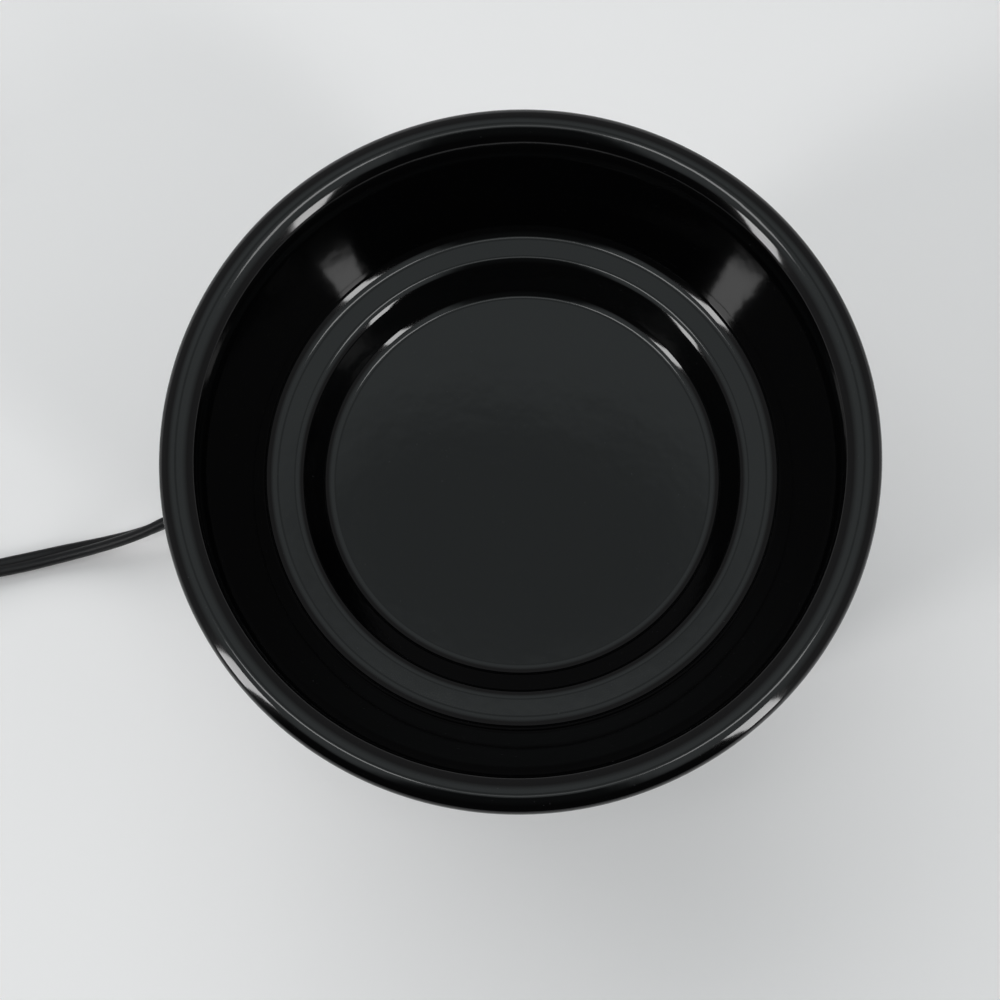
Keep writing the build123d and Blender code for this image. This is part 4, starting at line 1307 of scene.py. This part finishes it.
@dataclass
class StudioView:
    """The floor, the light and the camera."""

    camera_place: Point = (0.013447, -0.057206, 0.35223)
    camera_turn: float = 17.76
    camera_tilt: float = 11.70
    camera_roll: float = 12.04
    camera_near: float = 0.01
    focal_pixels: float = 1500.0
    image_pixels: float = 1000.0
    sensor_width: float = 36.0
    floor_size: float = 6.0
    floor_dark: Colour = (0.82, 0.81, 0.81)
    floor_pale: Colour = (0.86, 0.85, 0.85)
    floor_range: Pair = (0.3, 0.7)
    floor_scale: float = 3.0
    floor_rough: float = 0.5
    backdrop: Colour = (0.71, 0.71, 0.715)
    backdrop_reach: Pair = (0.45, 1.3)
    room_edge: Colour = (0.75, 0.75, 0.76)
    room_wall: Colour = (0.22, 0.22, 0.225)
    room_ceiling: Colour = (0.575, 0.63, 0.64)
    room_heights: tuple[float, ...] = (0.02, 0.11, 0.60, 0.85)
    shade_turn: float = 271.5
    shade_dark: float = 0.10
    shade_foot: Pair = (0.02, 0.08)
    shade_neck: Pair = (0.66, 0.76)
    shade_top: Pair = (0.965, 0.988)
    shade_wide: Pair = (0.55, 0.70)
    shade_slim: Pair = (0.80, 0.94)
    patch_middle: Point = (-0.05, 0.165, 0.0)
    patch_reach: Point = (0.17, 0.11, 1.0)
    patch_edge: Pair = (0.6, 1.05)
    patch_foot: Pair = (0.5, 0.6)
    patch_dark: float = 0.66
    window_turns: tuple[float, ...] = (213.0, 325.0)
    window_power: float = 6.5
    window_height: float = 33.0
    window_distance: float = 1.6
    window_size: Pair = (0.22, 0.95)
    strip_places: tuple[Point, ...] = ((-0.39, -0.08, 1.6), (0.0, -0.08, 1.6), (0.36, -0.08, 1.6))
    strip_lengths: tuple[float, ...] = (0.44, 0.30, 0.44)
    strip_powers: tuple[float, ...] = (0.95, 0.12, 0.95)
    strip_width: float = 0.16
    strip_turn: float = 5.7
    fill_place: Point = (-0.35, 0.60, 0.72)
    fill_size: Pair = (1.0, 1.0)
    fill_power: float = 4.5

    def add_floor(self) -> None:
        """Make the pale table top, which fades to the backdrop further out."""
        bm = bmesh.new()
        bmesh.ops.create_grid(bm, x_segments=1, y_segments=1, size=self.floor_size / 2.0)
        floor = link_mesh(bm, "table_top")
        sheet = MaterialSheet("pale_table")
        clouds = sheet.noise(self.floor_scale, detail=4.0)
        colour = sheet.ramp(clouds, self.floor_range, (self.floor_dark, self.floor_pale))
        sheet.paint(Base_Color=colour, Roughness=self.floor_rough)
        far = sheet.rise(sheet.vector("LENGTH", sheet.place(), output="Value"), self.backdrop_reach)
        self.cover(sheet, sheet.shader, "ShaderNodeEmission", "Material Output", far)
        dress(floor, sheet.material)

    def add_world(self) -> None:
        """Light the scene with a soft room: pale ceiling, darker walls, dark behind the camera."""
        world = bpy.data.worlds.new("soft_room")
        bpy.context.scene.world = world
        world.use_nodes = True
        sheet = NodeSheet(world.node_tree)
        way = sheet.add("ShaderNodeTexCoord").outputs["Generated"]
        height = sheet.vector("DOT_PRODUCT", way, (0.0, 0.0, 1.0), output="Value")
        level = sheet.vector("MULTIPLY", way, (1.0, 1.0, 0.0))
        turn = math.radians(self.shade_turn)
        back = (math.cos(turn), math.sin(turn), 0.0)
        behind = sheet.vector("DOT_PRODUCT", sheet.vector("NORMALIZE", level), back, output="Value")
        wide = sheet.fold(
            "MULTIPLY",
            sheet.rise(behind, self.shade_wide),
            sheet.rise(height, self.shade_foot),
            sheet.fall(height, self.shade_neck),
        )
        slim = sheet.fold(
            "MULTIPLY",
            sheet.rise(behind, self.shade_slim),
            sheet.rise(height, self.shade_neck),
            sheet.fall(height, self.shade_top),
        )
        away = sheet.vector("DIVIDE", sheet.vector("SUBTRACT", level, self.patch_middle), self.patch_reach)
        patch = sheet.fold(
            "MULTIPLY",
            sheet.fall(sheet.vector("LENGTH", away, output="Value"), self.patch_edge),
            sheet.rise(height, self.patch_foot),
        )
        shade = sheet.span(sheet.fold("ADD", wide, slim), (1.0, self.shade_dark))
        strength = sheet.fold("MULTIPLY", shade, sheet.span(patch, (1.0, self.patch_dark)))
        colours = (self.room_edge, self.room_wall, self.room_wall, self.room_ceiling)
        background = world.node_tree.nodes["Background"]
        colour = sheet.ramp(height, self.room_heights, colours)
        sheet.fill(background, {"Color": colour, "Strength": strength})
        self.cover(sheet, background, "ShaderNodeBackground", "World Output")

    def cover(self, sheet: NodeSheet, lit: bpy.types.Node, plain: str, output: str, *shares: Socket) -> None:
        """Show the camera, and nothing else, a plain backdrop over a shader.

        Args:
            sheet: The nodes of the floor or the world.
            lit: The shader that is covered.
            plain: Blender's name for the backdrop's shader.
            output: Name of the output node.
            shares: Signals that limit how much of the backdrop shows.
        """
        seen = sheet.add("ShaderNodeLightPath").outputs["Is Camera Ray"]
        over = sheet.add(plain, Color=(*self.backdrop, 1.0)).outputs[0]
        mix = sheet.add("ShaderNodeMixShader", sheet.fold("MULTIPLY", seen, *shares), lit.outputs[0], over)
        sheet.feed(sheet.tree.nodes[output].inputs["Surface"], mix.outputs["Shader"])

    def hang(self, name: str, place: Matrix, size: Pair, power: float) -> Piece:
        """Hang a rectangular light.

        Args:
            name: The light's name.
            place: Where it is and how it is turned; it shines down its own Z axis.
            size: Its width and height.
            power: Its power, in watts.

        Returns:
            The lamp.
        """
        light = bpy.data.lights.new(name, "AREA")
        light.shape = "RECTANGLE"
        light.size, light.size_y = size
        light.energy = power
        lamp = place_object(name, light)
        lamp.matrix_world = place
        return lamp

    def add_lights(self) -> None:
        """Hang two tall windows on the camera's side, thin strips overhead and a soft fill for the table."""

        def looking_in(away: Vector) -> Matrix:
            """Place a light so that it faces the middle of the table."""
            return Matrix.Translation(away) @ away.to_track_quat("Z", "Y").to_matrix().to_4x4()

        rise = math.tan(math.radians(self.window_height))
        for index, turn in enumerate(self.window_turns):
            azimuth = math.radians(turn)
            away = Vector((math.cos(azimuth), math.sin(azimuth), rise)).normalized() * self.window_distance
            self.hang(f"window_{index}", looking_in(away), self.window_size, self.window_power)
        level = Matrix.Rotation(math.radians(self.strip_turn), 4, "Z")
        strips = zip(self.strip_places, self.strip_lengths, self.strip_powers)
        for index, (place, length, power) in enumerate(strips):
            self.hang(f"strip_{index}", level @ Matrix.Translation(place), (length, self.strip_width), power)
        fill = self.hang("fill", looking_in(Vector(self.fill_place)), self.fill_size, self.fill_power)
        fill.visible_glossy = False

    def add_camera(self) -> None:
        """Set the camera where the photograph was taken."""
        data = bpy.data.cameras.new("view")
        data.sensor_width = self.sensor_width
        data.lens = self.sensor_width * self.focal_pixels / self.image_pixels
        data.clip_start = self.camera_near
        camera = place_object("view", data)
        camera.matrix_world = (
            Matrix.Translation(self.camera_place)
            @ Matrix.Rotation(math.radians(self.camera_turn), 4, "Z")
            @ Matrix.Rotation(math.radians(self.camera_tilt), 4, "X")
            @ Matrix.Rotation(math.radians(-self.camera_roll), 4, "Z")
        )
        bpy.context.scene.camera = camera

    def build(self) -> None:
        """Make the whole set."""
        bpy.context.scene.view_settings.view_transform = "Standard"
        self.add_floor()
        self.add_world()
        self.add_lights()
        self.add_camera()


def dress_nodes() -> None:
    """Give every CAD node that stays its finish."""
    for finish, names in NODE_FINISHES.items():
        for name in names:
            dress(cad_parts[name], finish.material())


def main() -> None:
    """Build the sub-assemblies in order and report each piece."""
    logging.basicConfig(level=logging.INFO, format="%(message)s")
    StudioView().build()
    boot = LeadBoot().build()
    switch = InlineSwitch().build()
    plug = MainsPlug().build() + CoilStrap().build()
    lead = FlatLead(boot, switch, plug).build()
    body = WaxDish().build() + Pot().build() + RubberFeet().build()
    dress_nodes()
    for piece in boot + switch + plug + lead + body:
        LOG.info("%s: %d faces", piece.name, len(piece.data.polygons))


if __name__ == "__main__":
    main()
